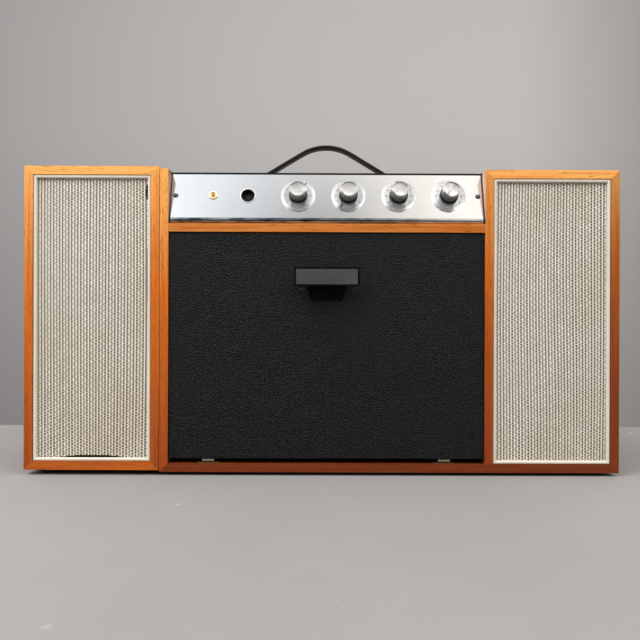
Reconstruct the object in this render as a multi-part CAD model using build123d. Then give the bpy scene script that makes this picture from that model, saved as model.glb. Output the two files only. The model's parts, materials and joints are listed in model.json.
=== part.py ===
from build123d import *
import math
import os

# Portable stereo record player, in millimetres.
# The set stands on z = 0 and faces -y. The middle of its outline is at x = 0, y = 0.
# A drop-down door at the front carries the record changer on its inner side.
# The right loudspeaker is part of the cabinet. The left one is a box of its own, which
# stands beside the cabinet on its own feet and hangs on two studs.

# Cabinet
BOARD = 9.5
CABINET_HEIGHT = 340.0
CABINET_DEPTH = 190.0
CONTROL_BAY_HEIGHT = 61.0
BAY_WIDTH = 132.0
CABINET_FOOT = 4.0
FOOT_RADIUS = 9.0
FOOT_INSET = 20.0

# Left loudspeaker
SPEAKER_HEIGHT = 340.5
SPEAKER_FOOT = 6.0
SPEAKER_GAP = 0.6

# Backs, set into a rebate
BACK_SHEET = 3.2
BACK_INSET = 8.0
REBATE = 5.5
BACK_FIT = 0.3

# Wood screws
SCREW_RADIUS = 1.4
SCREW_HEAD = 3.0
SCREW_HEAD_HEIGHT = 1.8
SCREW_LENGTH = 11.0
SCREW_EDGE = 3.3

# Top cover and its bearers
COVER_SHEET = 2.4
COVER_FIT = 0.3
BEARER_WIDTH = 26.0
BEARER_HEIGHT = 16.0

# Control panel
PANEL_TILT = 15.0
PANEL_SHEET = 1.2
PANEL_LIP = 4.0
PANEL_SETBACK = 4.0
PANEL_LIP_LENGTH = 6.0
PANEL_FLANGE = 9.0
PANEL_END_GAP = 0.8
PANEL_FIT = 0.1
CONTROL_RISE = 29.0
BASS_INSET = 38.2
LAMP_INSET = 47.6
LAMP_SPACING = 39.4
PANEL_SCREW_INSET = 5.0
CLEAT_WIDTH = 10.0
CLEAT_DEPTH = 18.0

# Knobs and potentiometers
KNOB_RADIUS = 9.3
KNOB_HEIGHT = 18.0
KNOB_BASE_RADIUS = 11.1
KNOB_BASE_HEIGHT = 2.2
KNOB_BORE_DEPTH = 10.0
SKIRT_RADIUS = 19.5
SKIRT_SHEET = 2.0
SKIRT_BEVEL = 3.3
SKIRT_LIFT = 0.6
NECK_RADIUS = 7.6
NECK_WALL = 1.0
SHAFT_RADIUS = 3.175
BUSH_RADIUS = 4.75
NUT_RADIUS = 6.0
NUT_HEIGHT = 2.2
POT_RADIUS = 12.0
POT_DEPTH = 12.0
RUNNING_FIT = 0.05

# Pilot lamp and sockets
LAMP_RADIUS = 3.9
LAMP_BEZEL = 5.0
LAMP_DEPTH = 14.0
SOCKET_RADIUS = 7.85
SOCKET_BORE = 6.65
SOCKET_BORE_DEPTH = 5.0
SOCKET_DEPTH = 11.0
SOCKET_PIN_CIRCLE = 3.5
SOCKET_PIN_RADIUS = 0.8
HOLE_FIT = 0.1
GLAND_RADIUS = 7.0
GLAND_BORE = 3.6

# Amplifier
CHASSIS_WIDTH = 230.0
CHASSIS_DEPTH = 100.0
CHASSIS_SETBACK = 58.0
CHASSIS_SHEET = 1.2
CHASSIS_FLANGE = 12.0
CORE_WIDTH = 48.0
CORE_DEPTH = 20.0
CORE_HEIGHT = 34.0
COIL_WIDTH = 32.0
COIL_DEPTH = 40.0
COIL_HEIGHT = 20.0
COIL_EDGE = 6.0
CORE_EDGE = 12.0
CANS = 3
CAN_RADIUS = 9.0
CAN_HEIGHT = 30.0
CAN_PITCH = 22.0
CAN_EDGE = 80.0
CAN_BACK = 24.0
CIRCUIT_WIDTH = 70.0
CIRCUIT_DEPTH = 62.0
CIRCUIT_SHEET = 1.6
CIRCUIT_EDGE = 8.0
CIRCUIT_FRONT = 12.0
STANDOFF_HEIGHT = 6.0
STANDOFF_RADIUS = 2.5
STANDOFF_INSET = 6.0
SINK_EDGE = 88.0
SINK_DEPTH = 26.0
SINK_HEIGHT = 22.0
SINK_SHEET = 2.0
SINK_GAP = 4.0
FINS = 6

# Carrying handle
HANDLE_WIDTH = 18.0
HANDLE_THICKNESS = 7.0
HANDLE_HALF_SPAN = 92.3
HANDLE_ANGLE = 31.0
HANDLE_CROWN = 58.5
HANDLE_FOOT_BEND = 30.0
HANDLE_END = 24.0
HANDLE_REST = 0.3
CAP_LENGTH = 34.0
CAP_WALL = 3.0
CAP_FIT = 0.3

# Grilles and loudspeakers
BEAD_WIDTH = 3.6
BEAD_DEPTH = 3.0
BEAD_SETBACK = 0.8
BEAD_FIT = 0.2
BEAD_ROUND = 1.3
CLOTH = 0.6
BAFFLE = 9.5
DRIVER_LENGTH = 178.0
DRIVER_WIDTH = 102.0
DRIVER_RIM = 7.0
DRIVER_SHEET = 1.2
DRIVER_DEPTH = 40.0
MAGNET_RADIUS = 26.0
MAGNET_HEIGHT = 16.0
DRIVER_RISE = 20.0

# Studs and keyholes that hold the left loudspeaker
STUD_RADIUS = 2.0
STUD_HEAD = 4.5
STUD_HEAD_HEIGHT = 2.0
STUD_ROOT = 7.0
STUD_Z = 262.0
STUD_SPACING = 100.0
KEYHOLE_SHEET = 1.5
KEYHOLE_WIDTH = 18.0
KEYHOLE_LENGTH = 44.0
KEYHOLE_FIT = 0.3
KEYHOLE_DROP = 14.0
POCKET_DEPTH = 4.2

# Door and hinges
DOOR_THICKNESS = 10.0
DOOR_RECESS = 1.0
DOOR_SIDE_GAP = 0.8
DOOR_TOP_GAP = 1.0
DOOR_COVERING = 0.8
HINGE_LIFT = 3.2
HINGE_SETBACK = 2.6
HINGE_SPACING = 265.0
KNUCKLE_RADIUS = 2.0
KNUCKLE_LENGTH = 4.3
KNUCKLE_GAP = 0.2
HINGE_PIN = 0.9
LEAF_SHEET = 1.0
LEAF_WIDTH = 24.0
LEAF_REACH = 7.0
DOOR_LEAF_GAP = 0.3
CATCH_SPACING = 240.0
CATCH_RADIUS = 3.5
CATCH_HEIGHT = 7.0
CATCH_BALL = 2.2
CATCH_SHOW = 0.5

# Pull on the door
PULL_DROP = 49.8
PULL_WIDTH = 72.4
PULL_HEIGHT = 21.4
PULL_CAP = 3.0
PULL_STEM_WIDTH = 46.0
PULL_STEM_HEIGHT = 14.0
PULL_STEM_DROP = 2.0
PULL_FLOOR_GAP = 0.2
INSERT_BORDER = 2.1
INSERT_SHEET = 0.5
INSERT_FIT = 0.15

# Deck on the inner side of the door
DECK_WIDTH = 344.0
DECK_SIDE_GAP = 5.7
DECK_NEAR = 9.0
DECK_SHORT = 19.8
DECK_HEIGHT = 54.0
DECK_WALL = 9.0
PLATE_SHEET = 1.5
PLATE_RIM = 6.0
PLATE_FIT = 0.3
PLATE_BEAD = 1.0

# Platter
SPINDLE_INSET = 210.0
SPINDLE_SHIFT = 4.5
PLATTER_RADIUS = 89.0
PLATTER_WALL = 1.6
PLATTER_HEIGHT = 14.0
PLATTER_LIFT = 4.5
HUB_RADIUS = 9.0
BEARING_RADIUS = 13.0
BEARING_HEIGHT = 3.0
BEARING_SHAFT = 4.0
BEARING_DEPTH = 16.0
THRUST_GAP = 0.2
MAT_RADIUS = 87.5
MAT_THICKNESS = 4.0
MAT_GROOVES = 6
MAT_GROOVE = 0.8
RECORD_PIN = 3.55
RECORD_PIN_LENGTH = 52.0
DROP_RADIUS = 2.3
DROP_LENGTH = 14.0

# Motor and idler drive
MOTOR_SPEED = 1425.0
SPEEDS = (78.26, 45.0, 33.333, 16.667)
SPEED_IN_USE = 33.333
STEP_HEIGHT = 3.4
PULLEY_LIFT = 1.8
IDLER_RADIUS = 20.0
IDLER_TYRE = 2.6
IDLER_ANGLE = 125.0
MOTOR_ANGLE = 235.0
DRIVE_GAP = 0.05
IDLER_PIN = 2.0
MOTOR_SHAFT = 1.6
MOTOR_WIDTH = 66.0
MOTOR_LENGTH = 56.0
STACK_HEIGHT = 20.0
MOTOR_DROP = 11.0
ROTOR_RADIUS = 12.4
ROTOR_GAP = 0.6
ROTOR_SHOW = 1.0
BRACKET_WIDTH = 28.0
BRACKET_LENGTH = 44.0
BRACKET_SHEET = 3.0
BRACKET_DROP = 6.0
PILLAR_RADIUS = 3.5
PILLAR_INSET = 5.0
WINDING_WIDTH = 24.0
WINDING_LENGTH = 12.0
WINDING_SHOW = 5.0
SHAFT_TAIL = 9.0

# Tone arm
ARM_INSET = 59.0
ARM_V = 38.0
ARM_SHORT = 16.0
ARM_REST_ANGLE = 6.0
ARM_HEIGHT = 43.0
ARM_FALL = 3.0
HEAD_OFFSET = 22.0
HEAD_REACH = 30.0
HEAD_FRONT = 9.0
HEAD_WIDTH = 15.0
BEAM_WIDTH = 8.0
PEDESTAL_RADIUS = 18.0
PEDESTAL_HEIGHT = 17.0
SWING_PIN = 4.0
TURRET_RADIUS = 12.0
YOKE_GAP = 13.0
YOKE_WALL = 2.5
YOKE_FIT = 0.3
LIFT_PIN = 1.5
STYLUS_LIFT = 1.5
REST_SHORT = 54.0
REST_FIT = 0.3

# Overarm and levers
OVERARM_INSET = 92.0
OVERARM_V = 16.0
OVERARM_ROD = 4.0
OVERARM_BOSS = 8.0
OVERARM_HEIGHT = 86.0
OVERARM_SHORT = 14.0
LEVER_INSET = 14.0
LEVER_SPACING = 38.0
START_LEVER_INSET = 28.0
LEVER_RADIUS = 8.0
LEVER_REACH = 18.0
LEVER_PIN = 2.4

# Widths worked out from the sizes above
OPENING_WIDTH = DECK_WIDTH + 2 * DECK_SIDE_GAP
SPEAKER_WIDTH = BAY_WIDTH + 2 * BOARD
CABINET_WIDTH = OPENING_WIDTH + BAY_WIDTH + 3 * BOARD
TOTAL_WIDTH = SPEAKER_WIDTH + SPEAKER_GAP + CABINET_WIDTH
SPEAKER_LEFT = -TOTAL_WIDTH / 2
SPEAKER_RIGHT = SPEAKER_LEFT + SPEAKER_WIDTH
CABINET_LEFT = SPEAKER_RIGHT + SPEAKER_GAP
CABINET_RIGHT = CABINET_LEFT + CABINET_WIDTH
OPENING_LEFT = CABINET_LEFT + BOARD
OPENING_RIGHT = OPENING_LEFT + OPENING_WIDTH
OPENING_X = (OPENING_LEFT + OPENING_RIGHT) / 2
BAY_LEFT = OPENING_RIGHT + BOARD
BAY_RIGHT = BAY_LEFT + BAY_WIDTH

# Heights worked out from the sizes above
BASE_TOP = CABINET_FOOT + BOARD
OPENING_HEIGHT = CABINET_HEIGHT - 2 * BOARD - CONTROL_BAY_HEIGHT
SHELF_BOTTOM = BASE_TOP + OPENING_HEIGHT
SHELF_TOP = SHELF_BOTTOM + BOARD
CABINET_TOP = CABINET_FOOT + CABINET_HEIGHT
COVER_BOTTOM = CABINET_TOP - COVER_SHEET
SPEAKER_TOP = SPEAKER_FOOT + SPEAKER_HEIGHT

# The pull's reach lets the open door rest on it, just clear of the table
HINGE_Z = BASE_TOP + HINGE_LIFT
PULL_REACH = HINGE_Z - HINGE_SETBACK - PULL_FLOOR_GAP

# Depths worked out from the sizes above
TOTAL_DEPTH = CABINET_DEPTH + PULL_REACH - DOOR_RECESS
REAR = TOTAL_DEPTH / 2
FRONT = REAR - CABINET_DEPTH
HINGE_Y = FRONT + DOOR_RECESS + HINGE_SETBACK
BACK_IN = REAR - BACK_INSET - BACK_SHEET
BACK_OUT = REAR - BACK_INSET
HANDLE_Y = FRONT + CABINET_DEPTH / 2
CLOTH_FRONT = FRONT + BEAD_SETBACK + BEAD_DEPTH
BAFFLE_FRONT = CLOTH_FRONT + CLOTH
BAFFLE_BACK = BAFFLE_FRONT + BAFFLE

# The deck's own heights, measured from the hinge axis with the door lying open
DOOR_FACE = -HINGE_SETBACK
DOOR_INNER = DOOR_FACE + DOOR_THICKNESS
DOOR_NEAR = KNUCKLE_RADIUS + DOOR_LEAF_GAP
DOOR_FAR = SHELF_BOTTOM - DOOR_TOP_GAP - HINGE_Z
DOOR_WIDTH = OPENING_WIDTH - 2 * DOOR_SIDE_GAP
DECK_FAR = DOOR_FAR - DECK_SHORT
PULL_RISE = DOOR_FAR - PULL_DROP
FRAME_TOP = DOOR_INNER + DECK_HEIGHT
PLATE_TOP = FRAME_TOP + PLATE_SHEET
RIM_BOTTOM = PLATE_TOP + PLATTER_LIFT
PLATTER_TOP = RIM_BOTTOM + PLATTER_HEIGHT
RECORD_PLANE = PLATTER_TOP + MAT_THICKNESS
RIM_INSIDE = PLATTER_RADIUS - PLATTER_WALL
STYLUS_Z = RECORD_PLANE + STYLUS_LIFT
LIFT_Z = PLATE_TOP + ARM_HEIGHT

# The changer's parts keep their places from the deck's right side and its far edge
SPINDLE_X = DECK_WIDTH / 2 - SPINDLE_INSET
SPINDLE_V = (DECK_NEAR + DECK_FAR) / 2 - SPINDLE_SHIFT
ARM_X = DECK_WIDTH / 2 - ARM_INSET
ARM_LENGTH = DECK_FAR - ARM_V - ARM_SHORT
REST_REACH = ARM_LENGTH - REST_SHORT
OVERARM_X = DECK_WIDTH / 2 - OVERARM_INSET
LEVER_X = DECK_WIDTH / 2 - LEVER_INSET
START_LEVER_V = DECK_FAR - START_LEVER_INSET
SPEED_LEVER_V = START_LEVER_V - LEVER_SPACING

# Turns a door part from lying open, as it is modelled, to its closed place
CLOSED = Pos(OPENING_X, HINGE_Y, HINGE_Z) * Rot(-90, 0, 0)

# The control panel's plane: x along the panel, y up its slope, z out of its face
LIP_CENTRE_Y = FRONT + PANEL_SETBACK + PANEL_LIP
LIP_CENTRE_Z = SHELF_TOP + PANEL_FIT + PANEL_LIP
TILT_COS = math.cos(math.radians(PANEL_TILT))
TILT_SIN = math.sin(math.radians(PANEL_TILT))
FACE_Y = LIP_CENTRE_Y - PANEL_LIP * TILT_COS
FACE_Z = LIP_CENTRE_Z + PANEL_LIP * TILT_SIN
PANEL = Plane(origin=(OPENING_X, FACE_Y, FACE_Z), x_dir=(1, 0, 0), z_dir=(0, -TILT_COS, TILT_SIN))
PANEL_WIDTH = OPENING_WIDTH - 2 * PANEL_END_GAP

# From the lamp on, the tape socket and the four knobs are evenly spread to the right
LAMP_X = LAMP_INSET - PANEL_WIDTH / 2
SOCKET_X = LAMP_X + LAMP_SPACING
CONTROL_PITCH = (PANEL_WIDTH / 2 - BASS_INSET - SOCKET_X) / 4
CONTROLS = {
    "balance": SOCKET_X + CONTROL_PITCH,
    "volume": SOCKET_X + 2 * CONTROL_PITCH,
    "treble": SOCKET_X + 3 * CONTROL_PITCH,
    "bass": SOCKET_X + 4 * CONTROL_PITCH,
}


def block(x, y, z):
    """A box between three pairs of low and high values."""
    spans = (x, y, z)
    middle = [(low + high) / 2 for low, high in spans]
    return Pos(*middle) * Box(*[high - low for low, high in spans])


def centred_block(middle, size):
    return Pos(*middle) * Box(*size)


def shrink(span, amount):
    return span[0] + amount, span[1] - amount


def rod(radius, low, high, x=0.0, y=0.0):
    """A round bar along z, between two heights."""
    return Pos(x, y, (low + high) / 2) * Cylinder(radius, high - low)


def turned(profile):
    """A solid turned about z from a closed outline of (radius, height) points."""
    outline = Polyline(*[(radius, 0, height) for radius, height in profile], close=True)
    return revolve(make_face(outline), Axis.Z)


def prism(outline, y):
    """An outline of (x, z) points, carried from one y to another."""
    low, high = y
    face = make_face(Polyline(*[(px, low, pz) for px, pz in outline], close=True))
    return extrude(face, amount=high - low, dir=(0, 1, 0))


def side_prism(outline, x):
    """An outline of (y, z) points, carried from one x to another."""
    low, high = x
    face = make_face(Polyline(*[(low, py, pz) for py, pz in outline], close=True))
    return extrude(face, amount=high - low, dir=(1, 0, 0))


def group(*pieces):
    """Separate solids kept together as one sub-part."""
    return Compound([solid for piece in pieces for solid in piece.solids()])


def facing_back(x, z):
    """Places a piece modelled along z on the back, pointing out of it."""
    return Pos(x, BACK_OUT, z) * Rot(-90, 0, 0)


def wood_screw():
    """A round-headed screw: the head above z = 0, the shank below."""
    crown = 0.55 * SCREW_HEAD
    profile = [
        (0, -SCREW_LENGTH),
        (SCREW_RADIUS, -SCREW_LENGTH),
        (SCREW_RADIUS, 0),
        (SCREW_HEAD, 0),
        (crown, SCREW_HEAD_HEIGHT),
        (0, SCREW_HEAD_HEIGHT),
    ]
    return turned(profile)


def rounded_foot(height):
    """A rubber foot with a bevelled sole."""
    sole = FOOT_RADIUS - 1.2
    profile = [(0, 0), (sole, 0), (FOOT_RADIUS, 1.2), (FOOT_RADIUS, height), (0, height)]
    return turned(profile)


def feet(left, right, height):
    """Four feet, set in from the corners of a box between two x values."""
    columns = (left + FOOT_INSET, right - FOOT_INSET)
    rows = (FRONT + FOOT_INSET, REAR - FOOT_INSET)
    return [Pos(x, y, 0) * rounded_foot(height) for x in columns for y in rows]


# Main cabinet


def back_outline(left, right, bottom, top, fit):
    """Corners of a back that reaches into the rebates around an inside opening."""
    grow = REBATE - fit
    return [
        (left - grow, bottom - grow),
        (right + grow, bottom - grow),
        (right + grow, top + grow),
        (left - grow, top + grow),
    ]


def cabinet_back_outline(fit):
    return back_outline(OPENING_LEFT, BAY_RIGHT, BASE_TOP, CABINET_TOP - BOARD, fit)


def cabinet_screw_places():
    """Centres of the back's screws, as (x, z): into the outer boards, divider and shelf."""
    reach = REBATE - SCREW_EDGE
    left = OPENING_LEFT - reach
    right = BAY_RIGHT + reach
    low = BASE_TOP - reach
    high = CABINET_TOP - BOARD + reach
    divider = OPENING_RIGHT + BOARD / 2
    shelf = SHELF_BOTTOM + BOARD / 2
    rows = [low + share * (high - low) for share in (0.12, 0.5, 0.88)]
    columns = [left + share * (divider - left) for share in (0.2, 0.5, 0.8)]
    bay = (BAY_LEFT + BAY_RIGHT) / 2
    places = [(x, z) for x in (left, right) for z in rows]
    places += [(x, low) for x in columns] + [(x, shelf) for x in columns]
    places += [(divider, rows[0]), (divider, rows[1]), (bay, low), (bay, high)]
    return places


def cabinet_back_screws():
    return [facing_back(x, z) * wood_screw() for x, z in cabinet_screw_places()]


def side_boards():
    """The two outer sides, mitred where they meet the base and the top."""
    recess = prism(cabinet_back_outline(0), (BACK_IN, REAR + 1))
    screws = cabinet_back_screws()
    left = prism(
        [
            (CABINET_LEFT, CABINET_FOOT),
            (OPENING_LEFT, BASE_TOP),
            (OPENING_LEFT, CABINET_TOP),
            (CABINET_LEFT, CABINET_TOP),
        ],
        (FRONT, REAR),
    )
    right = prism(
        [
            (CABINET_RIGHT, CABINET_FOOT),
            (CABINET_RIGHT, CABINET_TOP),
            (BAY_RIGHT, CABINET_TOP - BOARD),
            (BAY_RIGHT, BASE_TOP),
        ],
        (FRONT, REAR),
    )
    left = left - recess - screws - dock_studs()
    return left, right - recess - screws


def base_board():
    """The bottom board, mitred at both ends."""
    outline = [
        (CABINET_LEFT, CABINET_FOOT),
        (CABINET_RIGHT, CABINET_FOOT),
        (BAY_RIGHT, BASE_TOP),
        (OPENING_LEFT, BASE_TOP),
    ]
    recess = prism(cabinet_back_outline(0), (BACK_IN, REAR + 1))
    return prism(outline, (FRONT, REAR)) - recess - cabinet_back_screws()


def top_board():
    """The board over the right loudspeaker, mitred at both ends."""
    outline = [
        (OPENING_RIGHT, CABINET_TOP),
        (BAY_LEFT, CABINET_TOP - BOARD),
        (BAY_RIGHT, CABINET_TOP - BOARD),
        (CABINET_RIGHT, CABINET_TOP),
    ]
    recess = prism(cabinet_back_outline(0), (BACK_IN, REAR + 1))
    return prism(outline, (FRONT, REAR)) - recess - cabinet_back_screws()


def divider():
    """The upright board between the deck opening and the right loudspeaker."""
    outline = [
        (OPENING_RIGHT, BASE_TOP),
        (BAY_LEFT, BASE_TOP),
        (BAY_LEFT, CABINET_TOP - BOARD),
        (OPENING_RIGHT, CABINET_TOP),
    ]
    return prism(outline, (FRONT, BACK_IN)) - cabinet_back_screws()


def panel_screw_places():
    edge = PANEL_WIDTH / 2 - PANEL_SCREW_INSET
    return (-edge, edge)


def panel_screws():
    return [PANEL * Pos(x, CONTROL_RISE, 0) * wood_screw() for x in panel_screw_places()]


def cleat(left, right):
    """A glued block behind one end of the control panel, cut to the panel's slope."""
    high = COVER_BOTTOM - PANEL_SHEET - PANEL_FIT
    notch = LIP_CENTRE_Y + PANEL_LIP_LENGTH + PANEL_FIT
    outline = [
        (notch, SHELF_TOP),
        (behind_panel(SHELF_TOP) + CLEAT_DEPTH, SHELF_TOP),
        (behind_panel(high) + CLEAT_DEPTH, high),
        (behind_panel(high), high),
        (behind_panel(LIP_CENTRE_Z + PANEL_LIP), LIP_CENTRE_Z + PANEL_LIP),
        (notch, LIP_CENTRE_Z + PANEL_LIP),
    ]
    return side_prism(outline, (left, right))


def behind_panel(z):
    """The y of the panel's rear face at a height."""
    return FACE_Y + PANEL_SHEET / TILT_COS + (z - FACE_Z) * TILT_SIN / TILT_COS


def shelf():
    """The amplifier's shelf, with the two cleats that the control panel is screwed to."""
    reach = (FRONT, BACK_IN)
    board = block((OPENING_LEFT, OPENING_RIGHT), reach, (SHELF_BOTTOM, SHELF_TOP))
    catches = [rod(CATCH_RADIUS, SHELF_BOTTOM, SHELF_BOTTOM + CATCH_HEIGHT, x, y) for x, y in catch_places()]
    board = board - cabinet_back_screws() - catches
    cleats = [
        cleat(OPENING_LEFT, OPENING_LEFT + CLEAT_WIDTH) - panel_screws(),
        cleat(OPENING_RIGHT - CLEAT_WIDTH, OPENING_RIGHT) - panel_screws(),
    ]
    return group(board, *cleats)


def cover_front():
    """Where the panel's face would meet the top of the cover."""
    return FACE_Y + (COVER_BOTTOM - FACE_Z) * TILT_SIN / TILT_COS


def top_cover():
    """The black cover over the amplifier, with the bearers glued under it."""
    sheet = block(
        (OPENING_LEFT + COVER_FIT, OPENING_RIGHT - COVER_FIT),
        (cover_front(), REAR),
        (COVER_BOTTOM, CABINET_TOP),
    )
    sheet = fillet(sheet.edges().filter_by(Axis.X).group_by(Axis.Z)[-1], COVER_SHEET / 3)
    across = (OPENING_LEFT, OPENING_RIGHT)
    under = (COVER_BOTTOM - BEARER_HEIGHT, COVER_BOTTOM)
    middle = block(across, (HANDLE_Y - BEARER_WIDTH / 2, HANDLE_Y + BEARER_WIDTH / 2), under)
    rear = block(across, (BACK_IN - BEARER_WIDTH / 2, BACK_IN), under)
    screws = handle_screws()
    return group(sheet - screws, middle - screws, rear)


def vent_slots():
    """Two rows of upright slots through the back, low and high."""
    slots = []
    for z in (BASE_TOP + 70, SHELF_BOTTOM - 60):
        for step in range(-4, 5):
            slot = extrude(Plane.XY * Rot(0, 0, 90) * SlotOverall(40, 5), amount=3 * BACK_SHEET, both=True)
            slots.append(facing_back(OPENING_X + 18 * step, z) * slot)
    return slots


def back_panel():
    """The hardboard back, with vents and holes for the gland and the socket."""
    panel = prism(cabinet_back_outline(BACK_FIT), (BACK_IN, BACK_OUT))
    gland = facing_back(*gland_place()) * rod(GLAND_RADIUS, -2 * BACK_SHEET, BACK_SHEET)
    socket = facing_back(*rear_socket_place()) * rod(SOCKET_RADIUS, -2 * BACK_SHEET, BACK_SHEET)
    return panel - vent_slots() - cabinet_back_screws() - gland - socket


def gland_place():
    return OPENING_RIGHT - 60, SHELF_TOP + 26


def rear_socket_place():
    return OPENING_LEFT + 60, SHELF_TOP + 26


def control_panel():
    """Bent aluminium sheet: rolled lower lip, sloping face and a flange under the cover."""
    inner = PANEL_LIP - PANEL_SHEET
    face_run = (COVER_BOTTOM - FACE_Z) / TILT_COS
    top_y = FACE_Y + face_run * TILT_SIN
    inner_y = LIP_CENTRE_Y - inner * TILT_COS
    inner_z = LIP_CENTRE_Z + inner * TILT_SIN
    inner_run = (COVER_BOTTOM - PANEL_SHEET - inner_z) / TILT_COS
    turn = math.radians(270 - (90 + PANEL_TILT) / 2)

    def at(y, z):
        return (0, y, z)

    def on_lip(radius, angle):
        return at(LIP_CENTRE_Y + radius * math.cos(angle), LIP_CENTRE_Z + radius * math.sin(angle))

    lip_end = LIP_CENTRE_Y + PANEL_LIP_LENGTH
    outer = [
        Line(at(lip_end, LIP_CENTRE_Z - PANEL_LIP), at(LIP_CENTRE_Y, LIP_CENTRE_Z - PANEL_LIP)),
        ThreePointArc(
            at(LIP_CENTRE_Y, LIP_CENTRE_Z - PANEL_LIP), on_lip(PANEL_LIP, turn), at(FACE_Y, FACE_Z)
        ),
        Line(at(FACE_Y, FACE_Z), at(top_y, COVER_BOTTOM)),
        Line(at(top_y, COVER_BOTTOM), at(top_y + PANEL_FLANGE, COVER_BOTTOM)),
    ]
    shoulder = inner_y + inner_run * TILT_SIN
    back = [
        Line(at(top_y + PANEL_FLANGE, COVER_BOTTOM), at(top_y + PANEL_FLANGE, COVER_BOTTOM - PANEL_SHEET)),
        Line(at(top_y + PANEL_FLANGE, COVER_BOTTOM - PANEL_SHEET), at(shoulder, COVER_BOTTOM - PANEL_SHEET)),
        Line(at(shoulder, COVER_BOTTOM - PANEL_SHEET), at(inner_y, inner_z)),
        ThreePointArc(at(inner_y, inner_z), on_lip(inner, turn), at(LIP_CENTRE_Y, LIP_CENTRE_Z - inner)),
        Line(at(LIP_CENTRE_Y, LIP_CENTRE_Z - inner), at(lip_end, LIP_CENTRE_Z - inner)),
        Line(at(lip_end, LIP_CENTRE_Z - inner), at(lip_end, LIP_CENTRE_Z - PANEL_LIP)),
    ]
    section = make_face(Wire([edge for line in outer + back for edge in line.edges()]))
    sheet = Pos(OPENING_X - PANEL_WIDTH / 2, 0, 0) * extrude(section, amount=PANEL_WIDTH, dir=(1, 0, 0))
    holes = [rod(BUSH_RADIUS + HOLE_FIT, -9, 9, x, CONTROL_RISE) for x in CONTROLS.values()]
    holes.append(rod(LAMP_RADIUS + HOLE_FIT, -9, 9, LAMP_X, CONTROL_RISE))
    holes.append(rod(SOCKET_RADIUS + HOLE_FIT, -9, 9, SOCKET_X, CONTROL_RISE))
    holes += [rod(SCREW_RADIUS, -9, 9, x, CONTROL_RISE) for x in panel_screw_places()]
    return sheet - [PANEL * hole for hole in holes]


def on_panel(x):
    """Places a piece modelled along z on the panel's face, at the controls' height."""
    return PANEL * Pos(x, CONTROL_RISE, 0)


def potentiometer():
    """Body behind the panel, threaded bush through it and nut on its face."""
    back = -PANEL_SHEET - POT_DEPTH
    body = rod(POT_RADIUS, back, -PANEL_SHEET)
    bush = rod(BUSH_RADIUS, -PANEL_SHEET, NUT_HEIGHT + 0.6)
    nut = extrude(RegularPolygon(NUT_RADIUS, 6), amount=NUT_HEIGHT)
    bore = rod(SHAFT_RADIUS + RUNNING_FIT, back + 2, 2 * NUT_HEIGHT + 2)
    tags = block((-7, 7), (-POT_RADIUS - 5, -POT_RADIUS + 3), (back + 4, back + 5.5))
    return body + bush + nut + tags - bore


def knob():
    """Clear skirt, knob body and the shaft that both turn with."""
    low = SKIRT_LIFT
    seat = low + SKIRT_SHEET
    shoulder = seat + KNOB_BASE_HEIGHT
    cavity = NUT_HEIGHT + 1.8
    rim = SKIRT_RADIUS - SKIRT_BEVEL
    skirt = turned(
        [
            (NECK_RADIUS, low),
            (SKIRT_RADIUS, low),
            (SKIRT_RADIUS, low + 0.4 * SKIRT_SHEET),
            (rim, seat),
            (NECK_RADIUS, seat),
        ]
    )
    body = turned(
        [
            (NECK_RADIUS - NECK_WALL, low),
            (NECK_RADIUS, low),
            (NECK_RADIUS, seat),
            (KNOB_BASE_RADIUS, seat),
            (KNOB_BASE_RADIUS, shoulder - 0.5),
            (KNOB_BASE_RADIUS - 0.5, shoulder),
            (KNOB_RADIUS, shoulder),
            (KNOB_RADIUS, KNOB_HEIGHT - 2.6),
            (KNOB_RADIUS - 0.4, KNOB_HEIGHT - 2.2),
            (KNOB_RADIUS, KNOB_HEIGHT - 1.8),
            (KNOB_RADIUS, KNOB_HEIGHT - 0.6),
            (KNOB_RADIUS - 0.6, KNOB_HEIGHT),
            (0, KNOB_HEIGHT - 0.5),
            (0, cavity),
            (NECK_RADIUS - NECK_WALL, cavity),
        ]
    )
    bottom = -PANEL_SHEET - POT_DEPTH + 2.3
    top = cavity + KNOB_BORE_DEPTH
    shaft = rod(SHAFT_RADIUS, bottom, top)
    return group(skirt, body - shaft, shaft)


def pilot_lamp():
    """Gilt bezel with its holder behind the panel, and the amber lens."""
    bezel = turned(
        [
            (LAMP_RADIUS, 0),
            (LAMP_BEZEL, 0),
            (LAMP_BEZEL, 0.8),
            (LAMP_BEZEL - 0.6, 1.6),
            (LAMP_RADIUS - 0.5, 1.6),
            (LAMP_RADIUS - 0.5, -LAMP_DEPTH),
            (LAMP_RADIUS, -LAMP_DEPTH),
        ]
    )
    lens_radius = LAMP_RADIUS - 0.5
    lens = turned([(0, -2), (lens_radius, -2), (lens_radius, 1.2), (0.6 * lens_radius, 2.2), (0, 2.5)])
    return group(bezel, lens)


def round_socket(pins, flange):
    """A round socket: a shell with a recess, and blind pin holes in the recess's floor."""
    body = rod(SOCKET_RADIUS, -SOCKET_DEPTH, 0.4)
    if flange:
        body += rod(SOCKET_RADIUS + 2.5, 0, 1.2)
    top = 1.2 if flange else 0.4
    floor = top - SOCKET_BORE_DEPTH
    body -= rod(SOCKET_BORE, floor, top)
    holes = [rod(SOCKET_PIN_RADIUS, floor - 3, floor, x, y) for x, y in pins]
    return body - holes


def tape_pins():
    """Five pin holes, evenly spread over the lower half circle."""
    angles = [math.radians(180 + 45 * step) for step in range(5)]
    return [(SOCKET_PIN_CIRCLE * math.cos(a), SOCKET_PIN_CIRCLE * math.sin(a)) for a in angles]


def speaker_pins():
    return [(0, 0), (0, SOCKET_PIN_CIRCLE)]


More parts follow.
